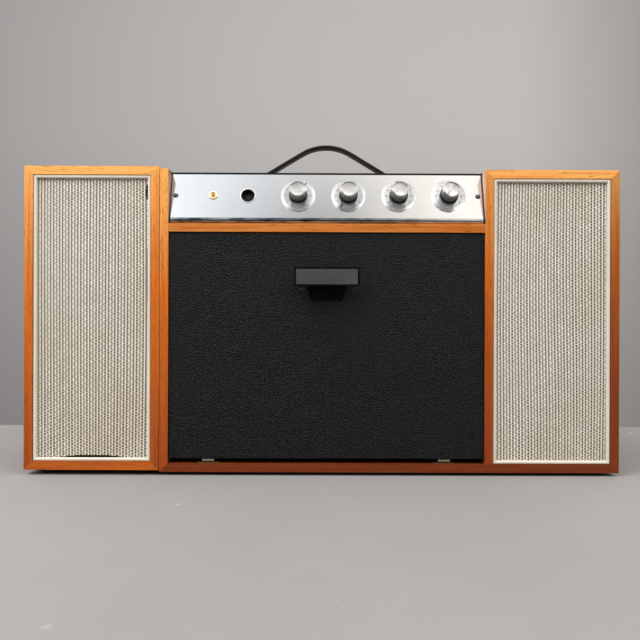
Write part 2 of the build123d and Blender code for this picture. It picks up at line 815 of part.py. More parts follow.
def din_sockets():
    """The tape socket on the control panel and the loudspeaker socket on the back."""
    tape = on_panel(SOCKET_X) * round_socket(tape_pins(), False)
    rear = facing_back(*rear_socket_place()) * round_socket(speaker_pins(), True)
    return group(tape, rear)


def mains_gland():
    """A flanged bush in the back for the mains lead."""
    bush = turned(
        [
            (GLAND_BORE, -BACK_SHEET - 5),
            (GLAND_RADIUS, -BACK_SHEET - 5),
            (GLAND_RADIUS, 0),
            (GLAND_RADIUS + 2.5, 0),
            (GLAND_RADIUS + 2.5, 1.6),
            (GLAND_BORE + 2.2, 4.6),
            (GLAND_BORE, 4.6),
        ]
    )
    return facing_back(*gland_place()) * bush


def amplifier():
    """Chassis, mains transformer, smoothing capacitors, circuit board and heat sink."""
    x = (OPENING_X - CHASSIS_WIDTH / 2, OPENING_X + CHASSIS_WIDTH / 2)
    front = FRONT + CHASSIS_SETBACK
    back = front + CHASSIS_DEPTH
    floor = SHELF_TOP + CHASSIS_SHEET
    flange = SHELF_TOP + CHASSIS_FLANGE
    tray = side_prism(
        [
            (front, SHELF_TOP),
            (back, SHELF_TOP),
            (back, flange),
            (back - CHASSIS_SHEET, flange),
            (back - CHASSIS_SHEET, floor),
            (front + CHASSIS_SHEET, floor),
            (front + CHASSIS_SHEET, flange),
            (front, flange),
        ],
        x,
    )
    clear = back - CHASSIS_SHEET
    middle_x = x[1] - CORE_EDGE - CORE_WIDTH / 2
    middle_y = clear - COIL_EDGE - COIL_DEPTH / 2
    middle_z = floor + CORE_HEIGHT / 2
    core = centred_block((middle_x, middle_y, middle_z), (CORE_WIDTH, CORE_DEPTH, CORE_HEIGHT))
    coil = centred_block((middle_x, middle_y, middle_z), (COIL_WIDTH, COIL_DEPTH, COIL_HEIGHT))
    cans = [
        rod(CAN_RADIUS, floor, floor + CAN_HEIGHT, x[1] - CAN_EDGE - CAN_PITCH * step, clear - CAN_BACK)
        for step in range(CANS)
    ]
    circuit_x = (x[0] + CIRCUIT_EDGE, x[0] + CIRCUIT_EDGE + CIRCUIT_WIDTH)
    circuit_y = (front + CIRCUIT_FRONT, front + CIRCUIT_FRONT + CIRCUIT_DEPTH)
    circuit_z = floor + STANDOFF_HEIGHT
    circuit = block(circuit_x, circuit_y, (circuit_z, circuit_z + CIRCUIT_SHEET))
    standoffs = [
        rod(STANDOFF_RADIUS, floor, circuit_z, px, py)
        for px in shrink(circuit_x, STANDOFF_INSET)
        for py in shrink(circuit_y, STANDOFF_INSET)
    ]
    sink_y = (clear - SINK_GAP - SINK_DEPTH, clear - SINK_GAP)
    fin_pitch = 3 * SINK_SHEET
    fins = [
        block((left, left + SINK_SHEET), sink_y, (floor, floor + SINK_HEIGHT))
        for left in [x[0] + SINK_EDGE + fin_pitch * step for step in range(FINS)]
    ]
    sink_x = (x[0] + SINK_EDGE, x[0] + SINK_EDGE + fin_pitch * (FINS - 1) + SINK_SHEET)
    sink = block(sink_x, sink_y, (floor, floor + SINK_SHEET))
    return group(tray, core + coil, circuit + standoffs, sink + fins, *cans)


# Carrying handle


def handle_path():
    """Flat ends, a bend up, a straight flank to the crown, and the same again."""
    rest = CABINET_TOP + HANDLE_REST + HANDLE_THICKNESS / 2
    crown = HANDLE_HALF_SPAN * math.tan(math.radians(HANDLE_ANGLE))
    end = HANDLE_HALF_SPAN + HANDLE_END
    points = [
        (OPENING_X - end, HANDLE_Y, rest),
        (OPENING_X - HANDLE_HALF_SPAN, HANDLE_Y, rest),
        (OPENING_X, HANDLE_Y, rest + crown),
        (OPENING_X + HANDLE_HALF_SPAN, HANDLE_Y, rest),
        (OPENING_X + end, HANDLE_Y, rest),
    ]
    return FilletPolyline(*points, radius=(HANDLE_FOOT_BEND, HANDLE_CROWN, HANDLE_FOOT_BEND))


def handle_strap():
    """A springy strap of oval section, arched over the cover."""
    path = handle_path()
    start = Plane(origin=path @ 0, x_dir=(0, 1, 0), z_dir=path % 0)
    section = start * RectangleRounded(HANDLE_WIDTH, HANDLE_THICKNESS, HANDLE_THICKNESS * 0.42)
    return sweep(section, path=path)


def cap_middle():
    """Distance of an end cap's middle from the middle of the handle."""
    return HANDLE_HALF_SPAN + HANDLE_END - 16 + CAP_LENGTH / 2


def handle_screws():
    """One screw down through each end cap, the cover and its bearer."""
    reach = HANDLE_HALF_SPAN + HANDLE_END + CAP_FIT + 8
    top = CABINET_TOP + HANDLE_REST + HANDLE_THICKNESS + CAP_FIT + CAP_WALL
    long_screw = rod(SCREW_RADIUS, -top + COVER_BOTTOM - 10, 0) + rod(SCREW_HEAD, 0, SCREW_HEAD_HEIGHT)
    return [Pos(OPENING_X + side * reach, HANDLE_Y, top) * long_screw for side in (-1, 1)]


def handle_end_caps():
    """Rounded shoes that hold the strap's ends down."""
    caps = []
    height = HANDLE_REST + HANDLE_THICKNESS + CAP_FIT + CAP_WALL
    width = HANDLE_WIDTH + 2 * (CAP_FIT + CAP_WALL)
    inner = HANDLE_HALF_SPAN + HANDLE_END + CAP_FIT
    for side in (-1, 1):
        shoe = Pos(OPENING_X + side * cap_middle(), HANDLE_Y, CABINET_TOP + height / 2)
        shoe = shoe * Box(CAP_LENGTH, width, height)
        top = shoe.edges().group_by(Axis.Z)[-1]
        shoe = fillet(top, CAP_WALL * 0.8)
        slot = block(
            sorted((OPENING_X, OPENING_X + side * inner)),
            (HANDLE_Y - HANDLE_WIDTH / 2 - CAP_FIT, HANDLE_Y + HANDLE_WIDTH / 2 + CAP_FIT),
            (CABINET_TOP - 1, CABINET_TOP + height - CAP_WALL),
        )
        caps.append(shoe - slot - handle_screws())
    return group(*caps)


# Grilles and loudspeakers, the same in both boxes


def bay_of_cabinet():
    return (BAY_LEFT, BAY_RIGHT), (BASE_TOP, CABINET_TOP - BOARD)


def bay_of_speaker():
    inside = (SPEAKER_LEFT + BOARD, SPEAKER_RIGHT - BOARD)
    return inside, (SPEAKER_FOOT + BOARD, SPEAKER_TOP - BOARD)


def grille_trim(x, z):
    """A moulded bead around the grille, rounded at the front."""
    y = (CLOTH_FRONT - BEAD_DEPTH, CLOTH_FRONT)
    outer = block(shrink(x, BEAD_FIT), y, shrink(z, BEAD_FIT))
    inset = BEAD_FIT + BEAD_WIDTH
    through = (y[0] - 1, y[1] + 1)
    bead = outer - block(shrink(x, inset), through, shrink(z, inset))
    return fillet(bead.edges().group_by(Axis.Y)[0], BEAD_ROUND)


def grille_cloth(x, z):
    """The cloth, stretched over the front of the baffle."""
    return block(shrink(x, BEAD_FIT), (CLOTH_FRONT, BAFFLE_FRONT), shrink(z, BEAD_FIT))


def driver_middle(x, z):
    return (x[0] + x[1]) / 2, (z[0] + z[1]) / 2 + DRIVER_RISE


def baffle(x, z):
    """The board behind the cloth, with an oval hole for the driver."""
    middle_x, middle_z = driver_middle(x, z)
    board = block(x, (BAFFLE_FRONT, BAFFLE_BACK), z)
    oval = Ellipse(DRIVER_WIDTH / 2 - DRIVER_RIM, DRIVER_LENGTH / 2 - DRIVER_RIM)
    hole = extrude(oval, amount=BAFFLE + 2)
    return board - Pos(middle_x, BAFFLE_FRONT - 1, middle_z) * Rot(-90, 0, 0) * hole


def driver(x, z):
    """An oval loudspeaker: pressed frame with its magnet, and the paper cone."""
    middle_x, middle_z = driver_middle(x, z)
    rim_x = DRIVER_WIDTH / 2 - DRIVER_RIM
    rim_z = DRIVER_LENGTH / 2 - DRIVER_RIM
    flange = extrude(
        Ellipse(DRIVER_WIDTH / 2, DRIVER_LENGTH / 2) - Ellipse(rim_x, rim_z), amount=DRIVER_SHEET
    )
    neck = MAGNET_RADIUS * 0.75
    back = Plane.XY.offset(DRIVER_DEPTH)
    bowl = loft([Ellipse(rim_x + 1, rim_z + 1), back * Circle(neck)], ruled=True)
    hollow = loft(
        [Ellipse(rim_x - 0.5, rim_z - 0.5), Plane.XY.offset(DRIVER_DEPTH - 1.5) * Circle(neck - 1.5)],
        ruled=True,
    )
    magnet = rod(MAGNET_RADIUS, DRIVER_DEPTH, DRIVER_DEPTH + MAGNET_HEIGHT)
    windows = [
        Rot(0, 0, 45 + 90 * step) * block((neck, rim_z), (-9, 9), (DRIVER_DEPTH * 0.35, DRIVER_DEPTH * 0.75))
        for step in range(4)
    ]
    frame = flange + (bowl - hollow - windows) + magnet
    reach = DRIVER_DEPTH - 10
    cone = loft([Ellipse(rim_x - 4, rim_z - 4), Plane.XY.offset(reach) * Circle(12)], ruled=True)
    cone -= loft(
        [Ellipse(rim_x - 5.5, rim_z - 5.5), Plane.XY.offset(reach - 1.2) * Circle(10.8)], ruled=True
    )
    surround = extrude(Ellipse(rim_x - 0.5, rim_z - 0.5) - Ellipse(rim_x - 5.5, rim_z - 5.5), amount=1.0)
    coil = rod(12, reach, DRIVER_DEPTH - 1.5)
    place = Pos(middle_x, BAFFLE_BACK, middle_z) * Rot(-90, 0, 0)
    return group(place * frame, place * (cone + surround + coil))


# Left loudspeaker box


def stud_places():
    """Centres of the studs, as (y, z)."""
    middle = FRONT + CABINET_DEPTH / 2
    return [(middle + side * STUD_SPACING / 2, STUD_Z) for side in (-1, 1)]


def dock_studs():
    """Headed studs that stand out of the cabinet's left side."""
    plate_inside = SPEAKER_GAP + KEYHOLE_SHEET
    head = plate_inside + KEYHOLE_FIT
    profile = [
        (0, -STUD_ROOT),
        (STUD_RADIUS, -STUD_ROOT),
        (STUD_RADIUS, head),
        (STUD_HEAD, head),
        (STUD_HEAD, head + STUD_HEAD_HEIGHT - 0.6),
        (STUD_HEAD - 0.6, head + STUD_HEAD_HEIGHT),
        (0, head + STUD_HEAD_HEIGHT),
    ]
    stud = Rot(0, -90, 0) * turned(profile)
    return group(*[Pos(CABINET_LEFT, y, z) * stud for y, z in stud_places()])


def keyhole_outline(y, z, x):
    """A plate-shaped block set into the box's right side."""
    half = KEYHOLE_WIDTH / 2
    return block(x, (y - half, y + half), (z + half - KEYHOLE_LENGTH, z + half))


def keyhole_plates():
    """Steel plates with a slot for the stud and, below it, a hole for its head."""
    plates = []
    for y, z in stud_places():
        x = (SPEAKER_RIGHT - KEYHOLE_SHEET, SPEAKER_RIGHT)
        plate = keyhole_outline(y, z, x)
        across = Pos(SPEAKER_RIGHT, y, z) * Rot(0, 90, 0)
        width = STUD_RADIUS + KEYHOLE_FIT
        plate -= across * rod(width, -9, 9)
        plate -= block(
            (SPEAKER_RIGHT - 9, SPEAKER_RIGHT + 9), (y - width, y + width), (z - KEYHOLE_DROP, z)
        )
        plate -= Pos(0, 0, -KEYHOLE_DROP) * across * rod(STUD_HEAD + KEYHOLE_FIT, -9, 9)
        plates.append(plate)
    return group(*plates)


def keyhole_pockets():
    """Room in the box's side for the plates and for the heads behind them."""
    pockets = []
    for y, z in stud_places():
        x = (SPEAKER_RIGHT - KEYHOLE_SHEET, SPEAKER_RIGHT + 1)
        pockets.append(keyhole_outline(y, z, x))
        behind = SPEAKER_RIGHT - KEYHOLE_SHEET - POCKET_DEPTH
        reach = STUD_HEAD + 2 * KEYHOLE_FIT
        pockets.append(
            block(
                (behind, SPEAKER_RIGHT), (y - reach, y + reach), (z - KEYHOLE_DROP - reach, z + reach)
            )
        )
    return pockets


def speaker_back_outline(fit):
    inside, height = bay_of_speaker()
    return back_outline(inside[0], inside[1], height[0], height[1], fit)


def speaker_screws():
    """Eight screws around the back of the box."""
    inside, height = bay_of_speaker()
    reach = REBATE - SCREW_EDGE
    left = inside[0] - reach
    right = inside[1] + reach
    low = height[0] - reach
    high = height[1] + reach
    rows = [low + share * (high - low) for share in (0.15, 0.5, 0.85)]
    places = [(x, z) for x in (left, right) for z in rows]
    middle = (left + right) / 2
    places += [(middle, low), (middle, high)]
    return [facing_back(x, z) * wood_screw() for x, z in places]


def speaker_case():
    """Four mitred boards."""
    x = (SPEAKER_LEFT, SPEAKER_RIGHT)
    z = (SPEAKER_FOOT, SPEAKER_TOP)
    inside = shrink(x, BOARD)
    within = shrink(z, BOARD)
    corners = [(x[0], z[0]), (x[1], z[0]), (x[1], z[1]), (x[0], z[1])]
    inner = [
        (inside[0], within[0]),
        (inside[1], within[0]),
        (inside[1], within[1]),
        (inside[0], within[1]),
    ]
    recess = prism(speaker_back_outline(0), (BACK_IN, REAR + 1))
    boards = []
    for step in range(4):
        following = (step + 1) % 4
        outline = [corners[step], corners[following], inner[following], inner[step]]
        boards.append(prism(outline, (FRONT, REAR)) - recess - speaker_screws() - keyhole_pockets())
    return group(*boards)


def speaker_socket_place():
    inside, height = bay_of_speaker()
    return (inside[0] + inside[1]) / 2, height[0] + 60


def speaker_back():
    """The hardboard back of the box."""
    panel = prism(speaker_back_outline(BACK_FIT), (BACK_IN, BACK_OUT))
    hole = facing_back(*speaker_socket_place()) * rod(SOCKET_RADIUS, -2 * BACK_SHEET, BACK_SHEET)
    return panel - hole - speaker_screws()


def lead_socket():
    return facing_back(*speaker_socket_place()) * round_socket(speaker_pins(), True)


# Door and hinges


def door_outline(inset, z):
    """A slab of the door, smaller than its outline by an inset on every edge."""
    half = DOOR_WIDTH / 2 - inset
    return block((-half, half), (-DOOR_FAR + inset, -DOOR_NEAR - inset), z)


def door_board():
    return CLOSED * door_outline(DOOR_COVERING, (DOOR_FACE + DOOR_COVERING, DOOR_INNER))


def door_covering():
    """Leathercloth over the front and the edges of the door."""
    skin = door_outline(0, (DOOR_FACE, DOOR_INNER))
    skin = fillet(skin.edges().group_by(Axis.Z)[0], DOOR_COVERING)
    hollow = door_outline(DOOR_COVERING, (DOOR_FACE + DOOR_COVERING, DOOR_INNER + 1))
    return CLOSED * (skin - hollow)


def hinge_places():
    return [OPENING_X + side * HINGE_SPACING / 2 for side in (-1, 1)]


def knuckle(x, radius):
    """A barrel along the hinge axis between two x values."""
    low, high = x
    return Pos((low + high) / 2, HINGE_Y, HINGE_Z) * Rot(0, 90, 0) * Cylinder(radius, high - low)


def knuckle_spans(x):
    """The x values of the three knuckles of one hinge: two of the cabinet's, one of the door's."""
    inner = KNUCKLE_LENGTH / 2
    start = inner + KNUCKLE_GAP
    outer = [(x - start - KNUCKLE_LENGTH, x - start), (x + start, x + start + KNUCKLE_LENGTH)]
    return outer, (x - inner, x + inner)


def cabinet_hinge_leaves():
    """Leaves on the base board, each with two knuckles and the hinge's pin."""
    leaves = []
    half = LEAF_WIDTH / 2
    for x in hinge_places():
        outer, _ = knuckle_spans(x)
        leaf = block(
            (x - half, x + half), (HINGE_Y, HINGE_Y + LEAF_REACH), (BASE_TOP, BASE_TOP + LEAF_SHEET)
        )
        for span in outer:
            leaf += knuckle(span, KNUCKLE_RADIUS)
            leaf += block(span, (HINGE_Y, HINGE_Y + KNUCKLE_RADIUS), (BASE_TOP, HINGE_Z))
        leaf += knuckle((outer[0][0], outer[1][1]), HINGE_PIN)
        leaves.append(leaf)
    return group(*leaves)


def door_hinge_leaves():
    """Leaves under the door's lower edge, each with one knuckle that turns on the pin."""
    leaves = []
    half = LEAF_WIDTH / 2
    z = (HINGE_Z + DOOR_NEAR - LEAF_SHEET, HINGE_Z + DOOR_NEAR)
    clear = HINGE_Y + KNUCKLE_RADIUS + DOOR_LEAF_GAP
    for x in hinge_places():
        _, inner = knuckle_spans(x)
        leaf = block((x - half, x + half), (clear, HINGE_Y + LEAF_REACH), z)
        leaf += block(inner, (HINGE_Y, clear), z)
        leaf += knuckle(inner, KNUCKLE_RADIUS)
        leaves.append(leaf - knuckle(inner, HINGE_PIN + RUNNING_FIT))
    return group(*leaves)


def catch_places():
    """Centres of the ball catches under the shelf, as (x, y)."""
    y = HINGE_Y + (DOOR_FACE + DOOR_INNER) / 2
    return [(OPENING_X + side * CATCH_SPACING / 2, y) for side in (-1, 1)]


def door_catches():
    """Catches let into the shelf, with a sprung ball that bears on the door's top edge."""
    catches = []
    for x, y in catch_places():
        catches.append(rod(CATCH_RADIUS, SHELF_BOTTOM, SHELF_BOTTOM + CATCH_HEIGHT, x, y))
        ball = Pos(x, y, SHELF_BOTTOM + CATCH_BALL - CATCH_SHOW) * Sphere(CATCH_BALL)
        catches[-1] += ball
    return group(*catches)


def pull_handle():
    """A stem out of the door's face with a wide cap, recessed for its insert."""
    front = DOOR_FACE - PULL_REACH
    half = PULL_WIDTH / 2
    low = -PULL_RISE + PULL_HEIGHT / 2
    high = -PULL_RISE - PULL_HEIGHT / 2
    cap = block((-half, half), (high, low), (front, front + PULL_CAP))
    cap = chamfer(cap.edges().group_by(Axis.Z)[0], 0.4)
    stem_start = low + PULL_STEM_DROP
    stem = block(
        (-PULL_STEM_WIDTH / 2, PULL_STEM_WIDTH / 2),
        (stem_start - PULL_STEM_HEIGHT, stem_start),
        (front + PULL_CAP, DOOR_FACE),
    )
    stem = fillet(stem.edges().filter_by(Axis.Z), 2)
    recess = insert_block(0, 1)
    return CLOSED * (cap + stem - recess)


def insert_block(fit, lift):
    """The insert's outline in the cap, smaller by a fit and standing out by a lift."""
    front = DOOR_FACE - PULL_REACH
    inset = INSERT_BORDER + fit
    half = PULL_WIDTH / 2 - inset
    y = (-PULL_RISE - PULL_HEIGHT / 2 + inset, -PULL_RISE + PULL_HEIGHT / 2 - inset)
    return block((-half, half), y, (front - lift + 0.1, front + 0.1 + INSERT_SHEET))


def pull_plate():
    return CLOSED * insert_block(INSERT_FIT, 0)


# Deck, modelled with the door lying open: x to the right, y towards the cabinet, z up


def deck_frame():
    """A shallow wooden box that holds the deck plate off the door."""
    half = DECK_WIDTH / 2
    outer = block((-half, half), (-DECK_FAR, -DECK_NEAR), (DOOR_INNER, FRAME_TOP))
    outer = fillet(outer.edges().filter_by(Axis.Z), 5)
    inside = block(
        shrink((-half, half), DECK_WALL),
        shrink((-DECK_FAR, -DECK_NEAR), DECK_WALL),
        (DOOR_INNER - 1, FRAME_TOP + 1),
    )
    return CLOSED * (outer - inside)


def idler_place():
    """The idler touches the inside of the platter's rim."""
    reach = RIM_INSIDE - IDLER_RADIUS - DRIVE_GAP
    angle = math.radians(IDLER_ANGLE)
    return SPINDLE_X + reach * math.cos(angle), -SPINDLE_V + reach * math.sin(angle) * -1


def pulley_radius(speed):
    return RIM_INSIDE * speed / MOTOR_SPEED


def pulley_place():
    """The motor's pulley touches the idler's other side."""
    x, y = idler_place()
    reach = IDLER_RADIUS + pulley_radius(SPEED_IN_USE) + DRIVE_GAP
    angle = math.radians(MOTOR_ANGLE)
    return x + reach * math.cos(angle), y - reach * math.sin(angle)


def step_span(speed):
    """Heights of one step of the pulley."""
    low = PLATE_TOP + PULLEY_LIFT + STEP_HEIGHT * SPEEDS.index(speed)
    return low, low + STEP_HEIGHT


def lever_places():
    return (LEVER_X, -SPEED_LEVER_V), (LEVER_X, -START_LEVER_V)


def deck_plate():
    """Pressed steel plate with a turned-down rim, drive and lever holes and three bosses."""
    grow = PLATE_SHEET + PLATE_FIT
    half = DECK_WIDTH / 2
    low = PLATE_TOP - PLATE_SHEET - PLATE_RIM
    outer = block(shrink((-half, half), -grow), shrink((-DECK_FAR, -DECK_NEAR), -grow), (low, PLATE_TOP))
    outer = fillet(outer.edges().filter_by(Axis.Z), 6)
    outer = fillet(outer.edges().group_by(Axis.Z)[-1], PLATE_SHEET * 0.8)
    inside = block(
        shrink((-half, half), -PLATE_FIT),
        shrink((-DECK_FAR, -DECK_NEAR), -PLATE_FIT),
        (low - 1, PLATE_TOP - PLATE_SHEET),
    )
    inside = fillet(inside.edges().filter_by(Axis.Z), 4.5)
    plate = outer - inside
    ring = PLATTER_RADIUS + 4
    bead = [
        (ring, PLATE_TOP - 0.2),
        (ring + 5, PLATE_TOP - 0.2),
        (ring + 4, PLATE_TOP + PLATE_BEAD),
        (ring + 1, PLATE_TOP + PLATE_BEAD),
    ]
    plate += Pos(SPINDLE_X, -SPINDLE_V, 0) * turned(bead)
    idler_x, idler_y = idler_place()
    hub_low = step_span(SPEED_IN_USE)[0] - 1.2
    plate += rod(5, PLATE_TOP - 0.5, hub_low, idler_x, idler_y)
    plate += rod(IDLER_PIN, PLATE_TOP, hub_low + 5.6, idler_x, idler_y)
    plate += rod(OVERARM_BOSS, PLATE_TOP - 0.5, PLATE_TOP + 12, OVERARM_X, -OVERARM_V)
    pulley_x, pulley_y = pulley_place()
    through = (PLATE_TOP - 9, PLATE_TOP + 20)
    plate -= rod(pulley_radius(SPEEDS[0]) + 3, *through, pulley_x, pulley_y)
    plate -= rod(BEARING_SHAFT, *through, SPINDLE_X, -SPINDLE_V)
    plate -= rod(OVERARM_ROD + RUNNING_FIT, *through, OVERARM_X, -OVERARM_V)
    for x, y in lever_places():
        plate -= rod(LEVER_PIN + RUNNING_FIT, *through, x, y)
    return CLOSED * plate


def centre_spindle():
    """Bearing flange and shaft, with the record pin above the mat and the shelf for the stack."""
    pin_top = RECORD_PLANE + RECORD_PIN_LENGTH
    flange = rod(BEARING_RADIUS, PLATE_TOP, PLATE_TOP + BEARING_HEIGHT)
    shaft = rod(BEARING_SHAFT, PLATE_TOP - BEARING_DEPTH, RECORD_PLANE)
    pin = rod(RECORD_PIN, RECORD_PLANE, pin_top)
    tip = pin_top + DROP_LENGTH
    profile = [(0, pin_top), (DROP_RADIUS, pin_top), (DROP_RADIUS, tip - DROP_RADIUS), (0.8, tip), (0, tip)]
    step = Pos(DROP_RADIUS - RECORD_PIN + RUNNING_FIT, 0, 0) * turned(profile)
    spindle = flange + shaft + pin + step
    return CLOSED * (Pos(SPINDLE_X, -SPINDLE_V, 0) * spindle)


def platter():
    """A pressed turntable: rim, top with a raised land, and the hub that runs on the shaft."""
    bore = BEARING_SHAFT + RUNNING_FIT
    hub_low = PLATE_TOP + BEARING_HEIGHT + THRUST_GAP
    under = PLATTER_TOP - PLATTER_WALL
    profile = [
        (bore, hub_low),
        (HUB_RADIUS, hub_low),
        (HUB_RADIUS, under),
        (RIM_INSIDE, under),
        (RIM_INSIDE, RIM_BOTTOM),
        (PLATTER_RADIUS + 1.2, RIM_BOTTOM),
        (PLATTER_RADIUS + 1.2, RIM_BOTTOM + 1.6),
        (PLATTER_RADIUS, RIM_BOTTOM + 2.4),
        (PLATTER_RADIUS, PLATTER_TOP - 0.8),
        (PLATTER_RADIUS - 0.8, PLATTER_TOP),
        (bore, PLATTER_TOP),
    ]
    return CLOSED * (Pos(SPINDLE_X, -SPINDLE_V, 0) * turned(profile))


def platter_mat():
    """A ribbed rubber mat: lands that carry the record, with grooves between them."""
    bore = BEARING_SHAFT + 0.6
    label = 26.0
    pitch = (MAT_RADIUS - label) / MAT_GROOVES
    profile = [(bore, PLATTER_TOP), (MAT_RADIUS, PLATTER_TOP), (MAT_RADIUS, RECORD_PLANE)]
    for step in range(MAT_GROOVES):
        edge = MAT_RADIUS - pitch * (step + 0.35)
        low = RECORD_PLANE - MAT_GROOVE
        inner = edge - pitch * 0.6
        profile += [(edge, RECORD_PLANE), (edge - 1, low), (inner + 1, low), (inner, RECORD_PLANE)]
    profile.append((bore, RECORD_PLANE))
    return CLOSED * (Pos(SPINDLE_X, -SPINDLE_V, 0) * turned(profile))


def idler_wheel():
    """A disc with a rubber tyre and a hub that runs on its pin."""
    low, high = step_span(SPEED_IN_USE)
    middle = (low + high) / 2
    half = IDLER_TYRE / 2
    bore = IDLER_PIN + RUNNING_FIT
    hub_low = low - 1.0
    profile = [
        (bore, hub_low),
        (4.5, hub_low),
        (4.5, middle - 0.8),
        (IDLER_RADIUS - 4, middle - 0.8),
        (IDLER_RADIUS - 4, middle - half),
        (IDLER_RADIUS, middle - half),
        (IDLER_RADIUS, middle + half),
        (IDLER_RADIUS - 4, middle + half),
        (IDLER_RADIUS - 4, middle + 0.8),
        (4.5, middle + 0.8),
        (4.5, hub_low + 4.6),
        (bore, hub_low + 4.6),
    ]
    x, y = idler_place()
    return CLOSED * (Pos(x, y, 0) * turned(profile))


def motor_depth():
    """Top and bottom of the motor's stack of laminations."""
    top = FRAME_TOP - MOTOR_DROP
    return top, top - STACK_HEIGHT


def motor_pulley():
    """A shaft with one step for each speed, the fastest at the bottom."""
    x, y = pulley_place()
    top, bottom = motor_depth()
    first = step_span(SPEEDS[0])[0]
    pulley = rod(MOTOR_SHAFT, bottom - SHAFT_TAIL, first)
    for speed in SPEEDS:
        pulley += rod(pulley_radius(speed), *step_span(speed))
    return CLOSED * (Pos(x, y, 0) * pulley)


def motor():
    """Laminated stack, coil and bearing brackets, hung from the plate on four pillars."""
    x, y = pulley_place()
    top, bottom = motor_depth()
    half_x = MOTOR_WIDTH / 2
    half_y = MOTOR_LENGTH / 2
    low = bottom - ROTOR_SHOW
    high = top + ROTOR_SHOW
    stack = block((-half_x, half_x), (-half_y, half_y), (bottom, top))
    stack -= rod(ROTOR_RADIUS + ROTOR_GAP, low, high)
    rotor = rod(ROTOR_RADIUS, low, high)
    bracket_x = (-BRACKET_WIDTH / 2, BRACKET_WIDTH / 2)
    bracket_y = (-BRACKET_LENGTH / 2, BRACKET_LENGTH / 2)
    brackets = block(bracket_x, bracket_y, (top, top + BRACKET_SHEET))
    brackets += block(bracket_x, bracket_y, (bottom - BRACKET_DROP, bottom))
    pillars = [
        rod(PILLAR_RADIUS, top, FRAME_TOP, px, py)
        for px in shrink((-half_x, half_x), PILLAR_INSET)
        for py in shrink((-half_y, half_y), PILLAR_INSET)
    ]
    winding = (half_y, half_y + WINDING_LENGTH)
    coil = block(
        (-WINDING_WIDTH / 2, WINDING_WIDTH / 2), winding, (bottom - WINDING_SHOW, top + WINDING_SHOW)
    )
    shaft = rod(MOTOR_SHAFT + RUNNING_FIT, bottom - SHAFT_TAIL - 1, top + SHAFT_TAIL)
    body = stack + rotor + brackets + pillars - shaft
    place = CLOSED * Pos(x, y, 0)
    return group(place * body, place * coil)


# Tone arm, modelled along x from its pivot and then turned to its place over the rest


def arm_place():
    return Pos(ARM_X, -ARM_V, 0) * Rot(0, 0, ARM_REST_ANGLE - 90)


def turret_span():
    """Heights of the turret's foot and of the floor of its yoke."""
    low = PLATE_TOP + PEDESTAL_HEIGHT + THRUST_GAP
    return low, LIFT_Z - 8


def arm_pedestal():
    """A fixed column with the pin that the turret turns on."""
    column = TURRET_RADIUS - 1.5
    low, yoke = turret_span()
    top = PLATE_TOP + PEDESTAL_HEIGHT
    profile = [
        (0, PLATE_TOP),
        (PEDESTAL_RADIUS, PLATE_TOP),
        (PEDESTAL_RADIUS, PLATE_TOP + 2),
        (PEDESTAL_RADIUS - 2, PLATE_TOP + 3),
        (column + 1, PLATE_TOP + 5),
        (column, top),
        (SWING_PIN, top),
        (SWING_PIN, yoke - 2.2),
        (0, yoke - 2.2),
    ]
    return CLOSED * (Pos(ARM_X, -ARM_V, 0) * turned(profile))


def tonearm_turret():
    """A sleeve with a yoke on top, whose cross pin carries the arm."""
    low, yoke = turret_span()
    bore = SWING_PIN + RUNNING_FIT
    sleeve = turned(
        [
            (bore, low),
            (TURRET_RADIUS, low),
            (TURRET_RADIUS, yoke - 1),
            (TURRET_RADIUS - 1, yoke),
            (0, yoke),
            (0, yoke - 2),
            (bore, yoke - 2),
        ]
    )
    half = YOKE_GAP / 2
    ears = [
        block((-5, 5), sorted((side * half, side * (half + YOKE_WALL))), (yoke - 1, LIFT_Z + 4))
        for side in (-1, 1)
    ]
    pin = Pos(0, 0, LIFT_Z) * Rot(90, 0, 0) * Cylinder(LIFT_PIN, YOKE_GAP + 2 * YOKE_WALL)
    return CLOSED * (arm_place() * (sleeve + ears + pin))


def head_joint():
    """Where the beam meets the offset head, in the arm's own plane."""
    offset = math.radians(HEAD_OFFSET)
    return ARM_LENGTH - HEAD_REACH * math.cos(offset), HEAD_REACH * math.sin(offset)


def head_place():
    x, y = head_joint()
    return Pos(x, y, 0) * Rot(0, 0, -HEAD_OFFSET)


def arm_underside(reach):
    """Height of the beam's underside at a distance from the pivot."""
    return LIFT_Z - 5 - ARM_FALL * reach / ARM_LENGTH


